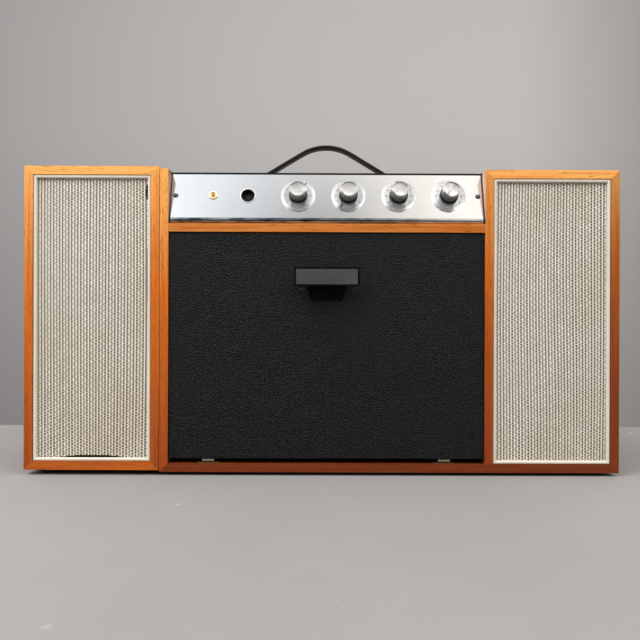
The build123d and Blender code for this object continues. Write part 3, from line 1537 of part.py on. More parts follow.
def tonearm():
    """A moulded arm: its plan and its side view, each carried through the other."""
    joint_x, joint_y = head_joint()
    lean = math.degrees(math.atan2(joint_y, joint_x))
    reach = math.hypot(joint_x, joint_y)
    wide = YOKE_GAP / 2 - YOKE_FIT - TURRET_RADIUS * math.sin(math.radians(lean))
    beam = make_face(
        Polyline(
            (-24, -wide * 0.8), (-6, -wide), (12, -wide), (30, -BEAM_WIDTH / 2), (reach + 3, -BEAM_WIDTH / 2),
            (reach + 3, BEAM_WIDTH / 2), (30, BEAM_WIDTH / 2), (12, wide), (-6, wide), (-24, wide * 0.8),
            close=True,
        )
    )
    half = HEAD_WIDTH / 2
    front = HEAD_REACH + HEAD_FRONT
    head = make_face(
        Polyline(
            (-5, -BEAM_WIDTH / 2), (8, -half), (front - 3, -half + 0.5), (front, -half + 3),
            (front, half - 3), (front - 3, half - 0.5), (8, half), (-5, BEAM_WIDTH / 2),
            close=True,
        )
    )
    high = LIFT_Z + 10
    plan = extrude(Rot(0, 0, lean) * beam, amount=high) + extrude(head_place() * head, amount=high)
    top = LIFT_Z + 5
    end = ARM_LENGTH + 14
    side = [
        (-25, LIFT_Z - 4), (20, LIFT_Z - 5), (REST_REACH, arm_underside(REST_REACH)),
        (joint_x - 8, arm_underside(joint_x)), (joint_x + 2, arm_underside(joint_x) - 4),
        (end, arm_underside(end) - 5), (end, arm_underside(end) + 1.5),
        (joint_x, arm_underside(joint_x) + 5), (60, LIFT_Z + 1), (12, top), (-18, top), (-25, top - 2),
    ]
    arm = plan & prism(side, (-60, 60))
    roof = cartridge_roof()
    pocket = head_place() * block((8, front - 2), (-half + 2, half - 2), (STYLUS_Z, roof))
    bore = Pos(0, 0, LIFT_Z) * Rot(90, 0, 0) * Cylinder(LIFT_PIN + RUNNING_FIT, 3 * YOKE_GAP)
    return CLOSED * (arm_place() * (arm - pocket - bore))


def cartridge_roof():
    return arm_underside(ARM_LENGTH) - 0.5


def cartridge():
    """The pick-up: its body in the head's pocket, and the stylus below it."""
    half = HEAD_WIDTH / 2 - 2.6
    low = STYLUS_Z + 3
    body = block((10, HEAD_REACH + HEAD_FRONT - 4), (-half, half), (low, cartridge_roof()))
    tip = turned([(0, STYLUS_Z), (1.6, low), (0, low)])
    return CLOSED * (arm_place() * head_place() * (body + Pos(HEAD_REACH, 0, 0) * tip))


def arm_rest():
    """A post with a shelf under the arm and a stop on its outer side."""
    joint_x, joint_y = head_joint()
    y = REST_REACH * joint_y / joint_x
    shelf_top = arm_underside(REST_REACH) - REST_FIT
    outer = y + BEAM_WIDTH / 2 + REST_FIT
    post = rod(3.5, PLATE_TOP, shelf_top - 3, REST_REACH, y)
    foot = rod(6.5, PLATE_TOP, PLATE_TOP + 2, REST_REACH, y)
    x = (REST_REACH - 3.5, REST_REACH + 3.5)
    shelf_block = block(x, (y - BEAM_WIDTH / 2, outer + 3), (shelf_top - 5, shelf_top))
    stop = block(x, (outer, outer + 3), (shelf_top - 1, shelf_top + 8))
    return CLOSED * (arm_place() * (post + foot + shelf_block + stop))


def overarm():
    """The record steadying arm: a rod in its boss and an arm towards the spindle."""
    dx = SPINDLE_X - OVERARM_X
    dy = OVERARM_V - SPINDLE_V
    reach = math.hypot(dx, dy) - OVERARM_SHORT
    top = PLATE_TOP + OVERARM_HEIGHT
    post = rod(OVERARM_ROD, PLATE_TOP - PLATE_SHEET, top)
    arm = prism(
        [(-8, top - 7), (0, top - 9), (reach - 4, top - 4), (reach, top - 7), (reach + 3, top - 7),
         (reach + 1, top), (0, top), (-8, top - 2)],
        (-5, 5),
    )
    arm = fillet(arm.edges().filter_by(Axis.Y), 0.8)
    turn = Rot(0, 0, math.degrees(math.atan2(dy, dx)))
    return CLOSED * (Pos(OVERARM_X, -OVERARM_V, 0) * turn * (post + arm))


def lever(place):
    """A control lever: a disc on its pin, and a finger tab towards the user."""
    x, y = place
    low = PLATE_TOP + THRUST_GAP
    disc = turned(
        [(0, low), (LEVER_RADIUS, low), (LEVER_RADIUS, low + 3), (LEVER_RADIUS - 1, low + 4), (0, low + 4)]
    )
    tab = block((-3, 3), (-LEVER_REACH, 0), (low + 1, low + 4))
    grip = block((-3, 3), (-LEVER_REACH, -LEVER_REACH + 4), (low + 1, low + 9))
    pin = rod(LEVER_PIN, PLATE_TOP - 5, low + 1)
    return CLOSED * (Pos(x, y, 0) * (disc + tab + grip + pin))


def nodes():
    """Every sub-part, by name."""
    left, right = side_boards()
    main_bay = bay_of_cabinet()
    box_bay = bay_of_speaker()
    parts = {
        "cabinet_left_side": left,
        "cabinet_right_side": right,
        "cabinet_divider": divider(),
        "cabinet_base_board": base_board(),
        "cabinet_top_board": top_board(),
        "amplifier_shelf": shelf(),
        "top_cover": top_cover(),
        "back_panel": back_panel(),
        "cabinet_screws": group(*cabinet_back_screws(), *panel_screws(), *handle_screws()),
        "cabinet_feet": group(*feet(CABINET_LEFT, CABINET_RIGHT, CABINET_FOOT)),
        "control_panel": control_panel(),
        "pilot_lamp": on_panel(LAMP_X) * pilot_lamp(),
        "din_sockets": din_sockets(),
        "amplifier": amplifier(),
        "potentiometers": group(*[on_panel(x) * potentiometer() for x in CONTROLS.values()]),
        "handle_strap": handle_strap(),
        "handle_end_caps": handle_end_caps(),
        "baffle_right": baffle(*main_bay),
        "grille_trim_right": grille_trim(*main_bay),
        "grille_cloth_right": grille_cloth(*main_bay),
        "speaker_driver_right": driver(*main_bay),
        "dock_studs": dock_studs(),
        "mains_gland": mains_gland(),
        "cabinet_hinge_leaves": cabinet_hinge_leaves(),
        "door_catches": door_catches(),
        "door_board": door_board(),
        "door_covering": door_covering(),
        "door_hinge_leaves": door_hinge_leaves(),
        "pull_handle": pull_handle(),
        "pull_plate": pull_plate(),
        "deck_frame": deck_frame(),
        "deck_plate": deck_plate(),
        "motor": motor(),
        "arm_pedestal": arm_pedestal(),
        "arm_rest": arm_rest(),
        "centre_spindle": centre_spindle(),
        "platter": platter(),
        "platter_mat": platter_mat(),
        "motor_pulley": motor_pulley(),
        "idler_wheel": idler_wheel(),
        "tonearm_turret": tonearm_turret(),
        "tonearm": tonearm(),
        "cartridge": cartridge(),
        "overarm": overarm(),
        "speed_lever": lever(lever_places()[0]),
        "start_lever": lever(lever_places()[1]),
        "speaker_case": speaker_case(),
        "speaker_back": speaker_back(),
        "speaker_screws": group(*speaker_screws()),
        "speaker_feet": group(*feet(SPEAKER_LEFT, SPEAKER_RIGHT, SPEAKER_FOOT)),
        "baffle_left": baffle(*box_bay),
        "grille_trim_left": grille_trim(*box_bay),
        "grille_cloth_left": grille_cloth(*box_bay),
        "speaker_driver_left": driver(*box_bay),
        "keyhole_plates": keyhole_plates(),
        "lead_socket": lead_socket(),
    }
    for name, x in CONTROLS.items():
        parts[f"{name}_knob"] = on_panel(x) * knob()
    return parts


os.makedirs("parts", exist_ok=True)
for name, shape in nodes().items():
    export_step(shape, f"parts/{name}.step")
    print(name, len(shape.solids()), round(shape.volume, 1))
print("joints: door axis y, z", round(HINGE_Y, 3), round(HINGE_Z, 3), "opening x", round(OPENING_X, 3))
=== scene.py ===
# %% [markdown]
# # A portable record player, dressed for its picture
# The frame already holds every board, screw and wheel at its true size and place, in metres, with
# the set standing on z = 0 and facing -Y. This script adds what a maker would call the finish:
# wood grain, woven cloth, spun metal, clear plastic and grained leathercloth. Nothing that the frame
# holds is moved. Pieces that need finer form are worked out as surfaces and ride on the same bodies.

# %% Load the frame
import json
import math
from functools import partial

import bmesh
import bpy
import numpy as np
from mathutils import Matrix, Vector


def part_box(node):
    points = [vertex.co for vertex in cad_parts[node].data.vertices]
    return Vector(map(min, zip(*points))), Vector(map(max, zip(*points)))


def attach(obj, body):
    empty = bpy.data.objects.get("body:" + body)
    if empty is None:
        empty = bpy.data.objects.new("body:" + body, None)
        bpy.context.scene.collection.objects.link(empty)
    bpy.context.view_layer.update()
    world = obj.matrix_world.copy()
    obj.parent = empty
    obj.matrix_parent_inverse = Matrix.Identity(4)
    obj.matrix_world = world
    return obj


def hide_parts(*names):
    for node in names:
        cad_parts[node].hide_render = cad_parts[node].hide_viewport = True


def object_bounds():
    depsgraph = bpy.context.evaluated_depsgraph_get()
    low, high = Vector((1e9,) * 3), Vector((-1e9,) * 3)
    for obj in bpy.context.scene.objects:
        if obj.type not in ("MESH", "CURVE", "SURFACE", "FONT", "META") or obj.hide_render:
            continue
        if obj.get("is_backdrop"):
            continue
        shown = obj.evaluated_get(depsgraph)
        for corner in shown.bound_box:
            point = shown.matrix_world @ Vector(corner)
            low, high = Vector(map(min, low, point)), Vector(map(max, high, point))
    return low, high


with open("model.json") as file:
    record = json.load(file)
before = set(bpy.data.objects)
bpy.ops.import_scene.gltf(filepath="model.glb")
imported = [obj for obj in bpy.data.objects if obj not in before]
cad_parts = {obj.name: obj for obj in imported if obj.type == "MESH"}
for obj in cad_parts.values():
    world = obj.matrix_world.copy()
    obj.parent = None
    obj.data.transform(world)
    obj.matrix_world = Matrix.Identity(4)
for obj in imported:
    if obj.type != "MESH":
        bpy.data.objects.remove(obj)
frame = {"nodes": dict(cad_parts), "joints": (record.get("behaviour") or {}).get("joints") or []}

MM = 0.001
cad_box = [list(corner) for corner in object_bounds()]
joints = {joint["name"]: joint for joint in frame["joints"]}
print("frame box in metres:", [[round(value, 4) for value in corner] for corner in cad_box])

# %% [markdown]
# ## The camera
# The picture is a square frame taken from straight in front, about 0.7 m away and at half the set's
# height. The place, the three small angles and the lens were found by fitting known corners of the
# cabinet to where they appear. A camera in Blender looks down its own -Z axis with +Y up, so a
# quarter turn about X makes it look along +Y, and the small angles are added to that.

# %% Make the camera
CAMERA_PLACE = Vector((-4.28, -787.73, 175.87)) * MM
CAMERA_YAW = math.radians(-0.159)
CAMERA_PITCH = math.radians(-0.084)
CAMERA_ROLL = math.radians(0.209)
FOCAL_PIXELS = 623.8
PICTURE_PIXELS = 640
SENSOR_WIDTH = 36.0


def in_scene(name, data):
    """A new object in the scene that holds a mesh, a camera or a lamp."""
    made = bpy.data.objects.new(name, data)
    bpy.context.scene.collection.objects.link(made)
    return made


# read from right to left: roll about the view, tip up from looking down, turn sideways, carry there
turns = ((CAMERA_YAW, "Z"), (math.pi / 2 + CAMERA_PITCH, "X"), (CAMERA_ROLL, "Z"))
camera_matrix = Matrix.Translation(CAMERA_PLACE)
for angle, axis in turns:
    camera_matrix = camera_matrix @ Matrix.Rotation(angle, 4, axis)
camera_data = bpy.data.cameras.new("front_camera")
camera_data.sensor_width = SENSOR_WIDTH
camera_data.lens = SENSOR_WIDTH * FOCAL_PIXELS / PICTURE_PIXELS
camera = in_scene("front_camera", camera_data)
camera.matrix_world = camera_matrix
bpy.context.scene.camera = camera
print("lens in mm:", round(camera_data.lens, 2))

# %% [markdown]
# ## Surfaces from arrays
# Every new piece is a grid of points, worked out as whole arrays. A grid needs only three things to
# become a solid: faces between neighbouring points, a seam that is merged where the grid meets
# itself, and normals that point out. One helper does each of these, so the pieces below only say
# what their shape is.

# %% Helpers that turn arrays into pieces
MERGE_DISTANCE = 2e-7
SHARP_ANGLE = math.radians(38)
SURFACE_UV = "surface"


def grid(points, uv=None):
    """Faces of a grid of points: [i, j], [i, j + 1], [i + 1, j + 1] and [i + 1, j] make each one."""
    rows, columns = points.shape[:2]
    index = np.arange(rows * columns).reshape(rows, columns)
    corners = [index[:-1, :-1], index[:-1, 1:], index[1:, 1:], index[1:, :-1]]
    faces = np.stack(corners, axis=-1).reshape(-1, 4)
    if uv is None:
        across, along = np.meshgrid(np.linspace(0, 1, columns), np.linspace(0, 1, rows))
        uv = np.stack([across, along], axis=-1)
    return points.reshape(-1, 3), faces, uv.reshape(-1, 2)


def joined(shells):
    """Puts several shells after each other, with the faces counted on."""
    starts = np.cumsum([0] + [len(points) for points, _, _ in shells[:-1]])
    points = np.concatenate([shell[0] for shell in shells])
    faces = np.concatenate([shell[1] + start for shell, start in zip(shells, starts)])
    uv = np.concatenate([shell[2] for shell in shells])
    return points, faces, uv


def placed(shell, matrix):
    """Carries a shell's points to their place with a 4 by 4 matrix."""
    turn = np.array(matrix.to_3x3())
    shift = np.array(matrix.translation)
    return shell[0] @ turn.T + shift, shell[1], shell[2]


def build_mesh(name, shells, masks=None):
    """A mesh from shells: seams merged, empty faces gone, flat ends that are still open closed with
    one face, faces turned outward, edges shaded. masks are named values, one for each point, that a
    material reads as attributes."""
    points, faces, uv = joined(shells)
    mesh = bpy.data.meshes.new(name)
    mesh.from_pydata(points.tolist(), [], faces.tolist())
    layer = mesh.uv_layers.new(name=SURFACE_UV)
    layer.uv.foreach_set("vector", uv[faces.reshape(-1)].astype(np.float32).reshape(-1))
    for mask, values in (masks or {}).items():
        attribute = mesh.attributes.new(mask, "FLOAT", "POINT")
        attribute.data.foreach_set("value", values.astype(np.float32))
    work = bmesh.new()
    work.from_mesh(mesh)
    bmesh.ops.remove_doubles(work, verts=work.verts, dist=MERGE_DISTANCE)
    bmesh.ops.dissolve_degenerate(work, edges=work.edges, dist=MERGE_DISTANCE)
    open_edges = [edge for edge in work.edges if edge.is_boundary]
    if open_edges:
        bmesh.ops.holes_fill(work, edges=open_edges, sides=0)
    bmesh.ops.recalc_face_normals(work, faces=work.faces)
    if work.calc_volume(signed=True) < 0:
        bmesh.ops.reverse_faces(work, faces=work.faces)
    work.to_mesh(mesh)
    work.free()
    mesh.polygons.foreach_set("use_smooth", np.ones(len(mesh.polygons), dtype=bool))
    mesh.set_sharp_from_angle(angle=SHARP_ANGLE)
    return mesh


def piece(name, shells, body, material, replaces=(), masks=None):
    """Makes a piece of the set that rides on a body and may stand for nodes of the frame."""
    made = in_scene(name, build_mesh(name, shells, masks))
    made.data.materials.append(material)
    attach(made, body)
    if replaces:
        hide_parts(*replaces)
    return made


def revolved(profile, steps=72, relief=None):
    """Carries a profile of (radius, height) pairs round the Z axis: x = r cos a, y = r sin a.
    relief(angle, radius, height) may add to the radius. U of the UVs is the share of a turn."""
    radius, height = np.array(profile, dtype=float).T
    angle = np.linspace(0, 2 * np.pi, steps + 1)
    angle[-1] = 0.0
    r = np.repeat(radius[:, None], steps + 1, axis=1)
    h = np.repeat(height[:, None], steps + 1, axis=1)
    a = np.repeat(angle[None, :], len(radius), axis=0)
    if relief is not None:
        r = r + np.where(r > 0, relief(a, r, h), 0)
    travelled = np.concatenate([[0], np.cumsum(np.hypot(np.diff(radius), np.diff(height)))])
    turn = np.linspace(0, 1, steps + 1)
    uv = np.stack(np.meshgrid(turn, travelled / max(travelled[-1], MERGE_DISTANCE)), axis=-1)
    return grid(np.stack([r * np.cos(a), r * np.sin(a), h], axis=-1), uv)


def closed_bar(edges):
    """A four-sided bar from the lines along its corners, the first of them given again at the end,
    and a face at each of its two ends."""
    bar = np.stack(edges, axis=1)
    return [grid(bar)] + [grid(bar[end][[[0, 1], [3, 2]]]) for end in (0, -1)]


def triangles(mesh):
    return sum(len(face.vertices) - 2 for face in mesh.polygons)


# %% [markdown]
# ## Places on the control panel
# The panel leans back by 15 degrees, and each knob turns about an axis square to it. The frame's
# joints give both: a knob's own axes are its joint's place with Z along the joint's axis, turned to
# point out of the panel.

# %% Work out the panel's own axes
def panel_axes(joint):
    """X along the panel, Y up its slope and Z out of it, from a knob's joint."""
    out = -Vector(joint["axis"]).normalized()
    along = Vector((1, 0, 0))
    up = out.cross(along)
    return Matrix((along, up, out)).transposed().to_4x4()


knob_joints = {name: joints[name + "_turn"] for name in ("balance", "volume", "treble", "bass")}
PANEL_TURN = panel_axes(knob_joints["volume"])
PANEL_OUT = Vector(PANEL_TURN.col[2][:3])
panel_low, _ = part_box("control_panel")

# a knob's joint lies 5 mm in front of the panel's face
JOINT_LIFT = 5.0 * MM
KNOB_ON_FACE = {
    name: Matrix.Translation(Vector(joint["pos_m"]) - PANEL_OUT * JOINT_LIFT) @ PANEL_TURN
    for name, joint in knob_joints.items()
}


def on_panel(x):
    """A place on the panel's face, x along it from the volume knob."""
    return KNOB_ON_FACE["volume"] @ Matrix.Translation((x, 0, 0))


for name, place in KNOB_ON_FACE.items():
    print(name, "knob on the panel at", [round(value * 1000, 1) for value in place.translation])

# %% [markdown]
# ## Node helpers
# A material is a small graph, and a graph is easier to read as a list of steps. Each helper below
# adds one node and gives back its result. A socket knows which tree it belongs to, so a step needs
# only its inputs: numbers, colours, or the results of other steps.

# %% Short ways to add nodes
def is_socket(value):
    return isinstance(value, bpy.types.NodeSocket)


def tree_of(*values):
    """The tree of the first of the values that is a socket."""
    return next(value.id_data for value in values if is_socket(value))


def feed(socket, value):
    """Links a result to an input, or sets the input. A colour may come without its alpha."""
    if is_socket(value):
        socket.id_data.links.new(value, socket)
    elif socket.type == "RGBA" and len(value) == 3:
        socket.default_value = (*value, 1.0)
    else:
        socket.default_value = value


def wire(made, **inputs):
    """Feeds a node's inputs, which are called by their own names with _ for a space."""
    for name, value in inputs.items():
        feed(made.inputs[name.replace("_", " ")], value)
    return made


def node(tree, kind, settings=None, **inputs):
    made = tree.nodes.new("ShaderNode" + kind)
    for name, value in (settings or {}).items():
        setattr(made, name, value)
    return wire(made, **inputs)


def sums(operation, *values, clamp=False):
    """One step of arithmetic, and its result. scaled(a, b, c) is a times b plus c."""
    made = node(tree_of(*values), "Math", {"operation": operation, "use_clamp": clamp})
    for socket, value in zip(made.inputs, values):
        feed(socket, value)
    return made.outputs[0]


times = partial(sums, "MULTIPLY")
plus = partial(sums, "ADD")
minus = partial(sums, "SUBTRACT")
scaled = partial(sums, "MULTIPLY_ADD")


def blended(share, first, second, kind="MIX"):
    """Two colours, mixed by a share from 0 to 1."""
    settings = {"data_type": "RGBA", "blend_type": kind, "clamp_factor": True}
    made = node(tree_of(share, first, second), "Mix", settings)
    for place, value in ((0, share), (6, first), (7, second)):
        feed(made.inputs[place], value)
    return made.outputs[2]


def between(value, low, high, to_low=0.0, to_high=1.0):
    """Maps a value that runs from low to high onto another span, and stops at its ends."""
    return node(tree_of(value), "MapRange", {"clamp": True}, Value=value, From_Min=low, From_Max=high,
                To_Min=to_low, To_Max=to_high).outputs["Result"]


def ramp(value, stops):
    """A colour ramp with stops of (place, colour)."""
    made = node(tree_of(value), "ValToRGB", Fac=value)
    elements = made.color_ramp.elements
    while len(elements) < len(stops):
        elements.new(0.5)
    for element, (place, colour) in zip(elements, stops):
        element.position = place
        element.color = (*colour, 1.0)
    return made.outputs["Color"]


def split(vector):
    """The X, Y and Z parts of a vector."""
    return node(tree_of(vector), "SeparateXYZ", Vector=vector).outputs


def gathered(**parts):
    """A vector from its X, Y and Z parts."""
    return node(tree_of(*parts.values()), "CombineXYZ", **parts).outputs[0]


def object_place(tree, scale=(1, 1, 1), shift=(0, 0, 0)):
    """Object coordinates in metres, shifted and stretched."""
    coordinates = node(tree, "TexCoord").outputs["Object"]
    return node(tree, "Mapping", Vector=coordinates, Scale=scale, Location=shift).outputs["Vector"]


def surface_place(tree):
    """The two counts that a surface made from an array carries: across or round it, and along it."""
    return split(node(tree, "UVMap", {"uv_map": SURFACE_UV}).outputs["UV"])[:2]


def noise(place, scale, detail=3.0, roughness=0.55, distortion=0.0):
    return node(tree_of(place), "TexNoise", Vector=place, Scale=scale, Detail=detail,
                Roughness=roughness, Distortion=distortion).outputs["Fac"]


def bumped(height, distance, strength=1.0):
    """A normal that leans by a height map."""
    made = node(tree_of(height), "Bump", Height=height, Distance=distance, Strength=strength)
    return made.outputs["Normal"]


def finish_of(name, **constants):
    """A new material: its node tree and its Principled shader, with plain constants set."""
    material = bpy.data.materials.new(name)
    material.use_nodes = True
    shader = material.node_tree.nodes["Principled BSDF"]
    return material, material.node_tree, wire(shader, **constants)


def new_group(name, inputs, outputs):
    """A node group with inputs of (name: kind) and outputs that are all numbers."""
    group = bpy.data.node_groups.new(name, "ShaderNodeTree")
    for label, kind in inputs.items():
        group.interface.new_socket(name=label, in_out="INPUT", socket_type="NodeSocket" + kind)
    for label in outputs:
        group.interface.new_socket(name=label, in_out="OUTPUT", socket_type="NodeSocketFloat")
    entry = group.nodes.new("NodeGroupInput")
    return group, entry.outputs, group.nodes.new("NodeGroupOutput")


def use_group(group, **inputs):
    return node(tree_of(*inputs.values()), "Group", {"node_tree": group}, **inputs).outputs


# %% [markdown]
# ## Effects that several finishes share
# Dust and handling marks lie on everything, and wood grain is on ten boards. Each such effect is a
# node group: built once, given its own numbers in each material, and putting out only masks and
# heights, so that the shader itself stays in the material.

# %% Dust and smudges
def make_dust():
    """A patchy film and small specks: broad noise gives the film, sharp noise the specks."""
    group, entry, leave = new_group(
        "dust_and_smudges", {"Place": "Vector", "Patches": "Float", "Specks": "Float"}, ["Film", "Speck"]
    )
    film = noise(entry["Place"], entry["Patches"], 4.0, 0.6)
    speck = noise(entry["Place"], entry["Specks"], 1.0, 0.5)
    wire(leave, Film=between(film, 0.38, 0.72), Speck=between(speck, 0.70, 0.76))
    return group


DUST = make_dust()


def dusted(dust, colour, film, filmed, speck, specked):
    """A colour under dust: a share of the film's tone in patches, and of the specks' tone in dots."""
    base = blended(times(dust["Film"], film), colour, filmed)
    return blended(times(dust["Speck"], speck), base, specked)


# %% [markdown]
# Wood shows three things at once: broad bands where the saw met the rings, fine streaks along the
# board, and short dark pores. All three are noise that is stretched along the grain, which costs
# nothing and never repeats. The boards are solid, so the pattern reads the object's own place and
# wraps round every edge as real grain does.

# %% Wood grain
def make_grain():
    """Noise stretched along Z: broad bands, fine streaks and short pores. Level turns it along X."""
    group, entry, leave = new_group(
        "board_grain", {"Place": "Vector", "Level": "Float", "Shift": "Float"}, ["Band", "Streak", "Pore"]
    )
    x, y, z = split(entry["Place"])
    shifted = plus(y, entry["Shift"])
    turned = node(group, "Mix", {"data_type": "VECTOR"})
    feed(turned.inputs[0], entry["Level"])
    feed(turned.inputs[4], gathered(X=x, Y=shifted, Z=z))
    feed(turned.inputs[5], gathered(X=z, Y=shifted, Z=x))

    def stretched(across, lengthways, detail, roughness, distortion=0.0):
        place = node(group, "Mapping", Vector=turned.outputs[1], Scale=(across, across, lengthways))
        return noise(place.outputs["Vector"], 1.0, detail, roughness, distortion)

    wire(leave, Band=stretched(55, 2.6, 3.0, 0.55, 0.6), Streak=stretched(420, 9, 4.0, 0.6, 0.3),
         Pore=between(stretched(1500, 95, 2.0, 0.5), 0.60, 0.68))
    return group


GRAIN = make_grain()

# %% [markdown]
# ## Wood
# The boards are veneered in an orange hardwood under a thin satin varnish. Painted light makes the
# upper part of the case honey coloured, and painted shade deepens it to a red brown near the table.
# The ramp below runs with height, and the grain moves each point a little up or down the ramp. Each
# board also gets a painted shade of its own. Two things break this: undersides are painted black as
# painted shade, and the inner faces on both sides of the control panel get a painted tone, with
# painted shade nearly black along the panel's edge.

# %% Make the wood finishes
WOOD_DEEP = (0.31, 0.050, 0.006)
WOOD_MIDDLE = (0.61, 0.150, 0.011)
WOOD_PAINTED_LIGHT = (0.96, 0.45, 0.115)
STREAK_BROWN = (0.20, 0.035, 0.006)
PORE_BROWN = (0.10, 0.022, 0.006)
UNDERSIDE_PAINTED_SHADE = (0.006, 0.005, 0.005)
PANEL_EDGE_PAINTED_SHADE = (0.020, 0.006, 0.004)
VARNISH = {"Coat_Weight": 0.05, "Coat_Roughness": 0.25, "Specular_IOR_Level": 0.24}
PAINTED_LIGHT_FROM = -0.02
PAINTED_LIGHT_TO = 0.345
LEVEL_PAINTED_LIGHT = 0.24
UNDERSIDES_BELOW = 0.012
BESIDE_PANEL_ABOVE = 0.283
PANEL_EDGE_FROM = 4.4 * MM
PANEL_EDGE_TO = 3.4 * MM


def facing(tree, axis, way):
    """1 on the faces that look along an axis, way being 1 or -1 for its two directions."""
    normal = node(tree, "NewGeometry").outputs["True Normal"]
    return sums("GREATER_THAN", times(split(normal)[axis], way), 0.5)


def wood_colour(tree, level, shift, fall, shade, lift):
    """Base colour, roughness and normal of veneer. level is 0 for upright grain and 1 for level,
    fall says how fast the painted light is lost below the top, shade is a painted shade that darkens
    the whole board, and lift moves it up the ramp."""
    place = object_place(tree)
    grain = use_group(GRAIN, Place=place, Level=level, Shift=shift)
    height = split(place)["Z"]
    # painted light and painted shade: lighter towards the top of the case, darker towards the table
    painted_light = times(sums("POWER", between(height, PAINTED_LIGHT_FROM, PAINTED_LIGHT_TO), fall), 0.93)
    tone = scaled(grain["Band"], 0.40, minus(painted_light, 0.20))
    tone = scaled(grain["Streak"], 0.40, minus(tone, 0.20))
    stops = [(0.0, WOOD_DEEP), (0.48, WOOD_MIDDLE), (1.0, WOOD_PAINTED_LIGHT)]
    colour = ramp(plus(tone, lift), stops)
    colour = blended(between(grain["Streak"], 0.52, 0.28, 0.0, 0.24), colour, STREAK_BROWN)
    colour = blended(times(grain["Pore"], 0.6), colour, PORE_BROWN)
    # painted shade: the whole board is darkened by its own factor
    colour = blended(1.0, colour, (shade, shade * 0.97, shade * 0.94), "MULTIPLY")
    # painted shade: undersides near the table are painted black
    under = times(facing(tree, "Z", -1), sums("LESS_THAN", height, UNDERSIDES_BELOW))
    colour = blended(under, colour, UNDERSIDE_PAINTED_SHADE)
    dust = use_group(DUST, Place=place, Patches=14.0, Specks=900.0)
    roughness = scaled(dust["Film"], 0.12, between(grain["Streak"], 0.2, 0.8, 0.34, 0.50))
    relief = scaled(grain["Pore"], -0.7, grain["Streak"])
    return colour, roughness, bumped(relief, 0.00006, 0.6)


def wood_finish(name, level, shift, fall, shade, beside=None):
    """Veneer for one board. Instead of a number, level may be a function that makes a mask of the
    level parts, which then get a little more painted light. beside is (way, share, tone) of a painted
    tone on the inner face next to the control panel, and painted shade darkens that face along the
    panel's edge."""
    material, tree, shader = finish_of(name, **VARNISH)
    lift = 0.0
    if callable(level):
        level = level(tree)
        # painted light: the level parts are lifted up the ramp
        lift = times(level, LEVEL_PAINTED_LIGHT)
    colour, roughness, normal = wood_colour(tree, level, shift, fall, shade, lift)
    # painted tone on the inner face beside the panel, and painted shade nearly black along the panel's
    # edge
    if beside is not None:
        way, share, stain_and_painted_tone = beside
        place = object_place(tree)
        above = between(split(place)["Z"], BESIDE_PANEL_ABOVE, BESIDE_PANEL_ABOVE + 1 * MM)
        above = times(above, facing(tree, "X", way))
        colour = blended(times(above, share), colour, stain_and_painted_tone)
        reach = node(tree, "VectorMath", {"operation": "DOT_PRODUCT"})
        feed(reach.inputs[0], place)
        feed(reach.inputs[1], PANEL_OUT)
        face = PANEL_OUT.dot(KNOB_ON_FACE["volume"].translation)
        edge = between(reach.outputs["Value"], face + PANEL_EDGE_FROM, face + PANEL_EDGE_TO)
        colour = blended(times(above, edge), colour, PANEL_EDGE_PAINTED_SHADE)
    wire(shader, Base_Color=colour, Roughness=roughness, Normal=normal)
    return material


def dress(material, *nodes):
    """Gives nodes of the frame a finish, on all their material slots."""
    for node_name in nodes:
        for place in frame["nodes"][node_name].material_slots:
            place.material = material


# numbers: level, grain shift, fall of the painted light, painted shade, and beside the panel a painted
# tone: dark painted shade on the left side, a greyish painted sheen on the divider
for name, board, *numbers in (
    ("left_side", "cabinet_left_side", 0.0, 0.013, 1.10, 0.96, (1, 0.72, (0.075, 0.055, 0.048))),
    ("divider", "cabinet_divider", 0.0, 0.171, 1.80, 0.83, (-1, 0.6, (0.62, 0.46, 0.41))),
    ("right_side", "cabinet_right_side", 0.0, 0.417, 2.2, 0.63),
    ("base", "cabinet_base_board", 1.0, 0.291, 1.0, 0.48),
    ("top", "cabinet_top_board", 1.0, 0.537, 0.9, 1.0),
    ("shelf", "amplifier_shelf", 1.0, 0.713, 2.3, 0.80),
):
    dress(wood_finish("veneer_" + name, *numbers), board)

# %% [markdown]
# The left loudspeaker's case is one node with four mitred boards, so its grain has to turn at the
# mitres. A point belongs to a level board where it is nearer to the top or bottom than to a side,
# which is exactly where a 45 degree mitre runs.

# %% Turn the grain at the mitres of the loudspeaker
def mitre_mask(tree):
    """1 where a point of the case is nearer to a level board's outer face than to an upright one's."""
    low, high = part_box("speaker_case")
    x, _, z = split(object_place(tree))
    beside = sums("MINIMUM", minus(x, low[0]), minus(high[0], x))
    above = sums("MINIMUM", minus(z, low[2]), minus(high[2], z))
    return sums("GREATER_THAN", beside, above)


# the case's level boards get a little more painted light
dress(wood_finish("veneer_speaker_case", mitre_mask, 0.861, 1.5, 0.97), "speaker_case")
print("wood finishes:", len([material for material in bpy.data.materials if "veneer" in material.name]))

# %% [markdown]
# ## Leathercloth, moulded plastic, rubber and hardboard
# The door is covered in black leathercloth with a fine pebble grain: cells with soft tops and narrow
# valleys. A Voronoi texture gives the distance to each cell's border, which is the valley, and noise
# bends the cells so that they don't look like a honeycomb.

# %% Make the pebble grain
BLACK = (0.0024, 0.0025, 0.0028)
WORN_BLACK = (0.0085, 0.0084, 0.0082)
VALLEY_PAINTED_SHADE = (0.005, 0.005, 0.005)
CELL_WAVER = 0.0012


